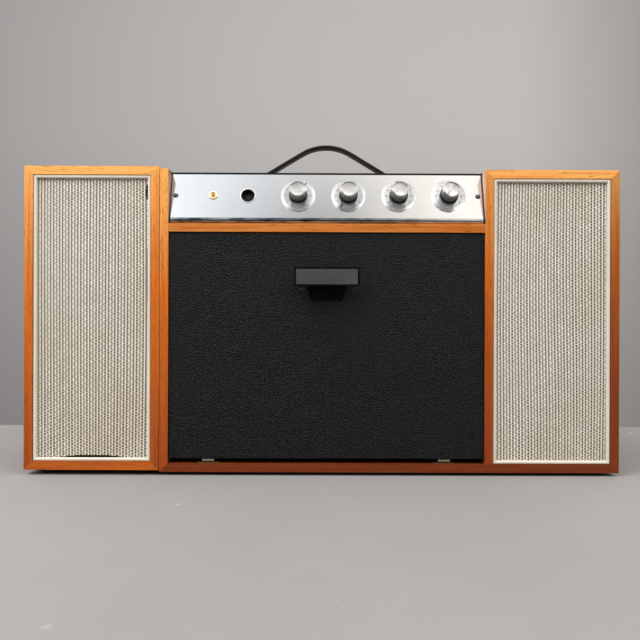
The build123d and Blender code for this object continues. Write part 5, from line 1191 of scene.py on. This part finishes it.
def web_shells():
    """A hollow quarter curve: depth d (1 - s)^2.2 at a share s of the drop, closed to the door."""
    share = np.linspace(0, 1, WEB_ROWS)
    middle_x = (pull_low[0] + pull_high[0]) / 2
    front = pull_low[1] + WEB_INSET
    depth = (pull_high[1] - front) * (1 - share) ** 2.2 + WEB_EDGE * share
    half = WEB_TOP_HALF + (WEB_FOOT_HALF - WEB_TOP_HALF) * share**0.7
    z = pull_low[2] + WEB_OVERLAP - WEB_DROP * share
    return closed_bar([
        np.stack([middle_x + x_side * half, pull_high[1] - depth * y_side, z], axis=-1)
        for x_side, y_side in ((-1, 0), (-1, 1), (1, 1), (1, 0), (-1, 0))
    ])


# a black web that stands in for the pull's shadow: painted shade
piece("pull_shadow_web", web_shells(), "door", PULL_BLACK)

# %% [markdown]
# ## Room and light
# The set stands on a pale grey table in front of a grey wall. The table is a thin sheet with a
# rounded far edge, and the wall stands well behind it, so the edge shows as it does in the picture.

# %% Table and wall
TABLE_EDGE = 0.237
TABLE_WIDTH = 2.4
TABLE_NEAR = -1.6
EDGE_ROUND = 0.004
EDGE_DROP = -0.05
TABLE_GREY = np.array([0.253, 0.244, 0.239])
WALL_Y = 1.15
WALL_GREY = (0.520, 0.502, 0.497)


def sheet_object(name, points, material):
    """A stage piece that isn't part of the set, made from one grid."""
    mesh = bpy.data.meshes.new(name)
    vertices, faces, _ = grid(points)
    mesh.from_pydata(vertices.tolist(), [], faces.tolist())
    mesh.polygons.foreach_set("use_smooth", np.ones(len(mesh.polygons), dtype=bool))
    mesh.materials.append(material)
    in_scene(name, mesh)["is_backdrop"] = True


def table_finish():
    """Matt pale paint with faint clouds and a few paler marks."""
    material, tree, shader = finish_of("table_paint", Specular_IOR_Level=0.12)
    place = object_place(tree)
    cloud = noise(place, 5.0, 4.0)
    base = blended(cloud, 0.92 * TABLE_GREY, 1.08 * TABLE_GREY)
    base = blended(between(noise(place, 34.0, 1.0), 0.76, 0.80, 0.0, 0.25), base, (0.6, 0.6, 0.6))
    wire(shader, Base_Color=base, Roughness=between(cloud, 0.0, 1.0, 0.7, 0.8))
    return material


def wall_finish():
    """Grey paper that grows darker towards the floor and towards both ends, as its light does."""
    material, tree, shader = finish_of("wall_paper", Specular_IOR_Level=0.1, Roughness=0.85)
    x, _, z = split(object_place(tree))
    across = between(x, -1.0, 0.7, 0.72, 1.08)
    beyond = between(x, 0.62, 1.0, 1.0, 0.74)
    tone = times(times(across, beyond), between(z, -0.2, 0.75, 0.76, 1.0))
    wire(shader, Base_Color=blended(1.0, WALL_GREY, gathered(X=tone, Y=tone, Z=tone), "MULTIPLY"))
    return material


def swept_sheet(x, y, z):
    """A grid of the points (x[j], y[i], z[i])."""
    across, along = np.meshgrid(x, y)
    return np.stack([across, along, np.broadcast_to(z[:, None], across.shape)], axis=-1)


edge_turn = np.linspace(0, np.pi / 2, 9)
flat_y = np.linspace(TABLE_NEAR, TABLE_EDGE, 12)
table_y = np.concatenate([flat_y, TABLE_EDGE + EDGE_ROUND * np.sin(edge_turn), [TABLE_EDGE + EDGE_ROUND]])
table_z = np.concatenate([np.zeros(12), EDGE_ROUND * (np.cos(edge_turn) - 1), [EDGE_DROP]])
table_x = np.linspace(-TABLE_WIDTH / 2, TABLE_WIDTH / 2, 5)
sheet_object("table_top", swept_sheet(table_x, table_y, table_z), table_finish())
wall_points = swept_sheet(np.linspace(6, -6, 7), np.full(4, WALL_Y), np.linspace(-1.5, 2.5, 4))
sheet_object("back_wall", wall_points, wall_finish())

# %% [markdown]
# Black leathercloth and polished metal show the room rather than themselves, so the room matters as
# much as the lamps. It is dark at eye level in front, which keeps the door black and the varnish
# clear, a little brighter low at the sides, and pale above. The sloping panel mirrors the part some
# 40 degrees up: bright and cool on the left, bright and warm on the right, and dimmer between. Where
# the room is seen directly, past the wall's end, it has a tone of its own. Five soft lamps give the
# rest, all outside what the panel mirrors: one above, one on each side, and two low ones behind the
# set, which light its side faces and the table.

# %% The room's own light
ROOM_LOW = 0.035
ROOM_LOW_BESIDE = 0.22
ROOM_SEEN = 0.45
ROOM_HIGH = 1.25
ROOM_MIDDLE = (0.44, 0.84)
ROOM_BEHIND = 0.45
COOL = (0.955, 0.985, 1.02)
WARM = (1.06, 1.01, 0.945)

# for each lamp: place, target, width and height, brightness, colour
LAMPS = {
    "above": ((-0.1, -0.45, 1.45), (0, -0.1, 0.1), (1.4, 0.8), 3.4, (1.0, 0.99, 0.975)),
    "left": ((-1.35, -1.1, 1.5), (0, -0.1, 0.2), (1.1, 1.1), 7.4, (0.97, 0.985, 1.0)),
    "right": ((1.45, -1.1, 1.5), (0, -0.1, 0.2), (1.1, 1.1), 3.8, (1.0, 0.965, 0.92)),
    "behind_left": ((-1.25, 0.95, 0.5), (-1.25, 0.0, 0.4), (0.5, 0.7), 4.0, (1.0, 0.985, 0.96)),
    "behind_right": ((1.25, 0.95, 0.5), (1.25, 0.0, 0.4), (0.5, 0.7), 4.0, (1.0, 0.985, 0.96)),
}


def make_room():
    """The world's brightness by direction: up by its Z part, and across by its X part."""
    world = bpy.data.worlds.new("bright_room")
    world.use_nodes = True
    tree = world.node_tree
    x, y, z = split(node(tree, "TexCoord").outputs["Generated"])
    beside = sums("ABSOLUTE", x)
    strength = between(beside, 0.03, 0.22, between(z, 0.61, 0.69, *ROOM_MIDDLE), ROOM_HIGH)
    low = between(beside, 0.34, 0.62, ROOM_LOW, ROOM_LOW_BESIDE)
    strength = times(strength, between(z, 0.22, 0.56, low, 1.0))
    strength = times(strength, between(y, 0.1, 0.5, 1.0, ROOM_BEHIND))
    seen = node(tree, "LightPath").outputs["Is Camera Ray"]
    wire(tree.nodes["Background"], Color=blended(between(x, -0.12, 0.14), COOL, WARM),
         Strength=between(seen, 0.0, 1.0, strength, ROOM_SEEN))
    return world


def soft_lamp(name, place, target, size, radiance, colour):
    """A rectangular lamp that looks at a target, of a given brightness for each square metre."""
    data = bpy.data.lights.new(name, "AREA")
    data.shape = "RECTANGLE"
    data.size, data.size_y = size
    data.energy = radiance * math.pi * size[0] * size[1]
    data.color = colour
    made = in_scene(name, data)
    made.location = place
    made.rotation_euler = (Vector(target) - Vector(place)).to_track_quat("-Z", "Y").to_euler()


for name, numbers in LAMPS.items():
    soft_lamp("lamp_" + name, *numbers)
bpy.context.scene.world = make_room()
bpy.context.scene.view_settings.view_transform = "Standard"
bpy.context.scene.view_settings.look = "None"

# %% [markdown]
# ## Sizes and the end
# The dressed set's box is worked out as the frame's was, and the last line prints its size over the
# frame's size.

# %% Write the sizes and finish
visual_box = [list(corner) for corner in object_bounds()]
visual_size, cad_size = (np.subtract(box[1], box[0]) for box in (visual_box, cad_box))
growth = [round(float(share), 4) for share in visual_size / cad_size]
print("visual size over frame size:", growth)
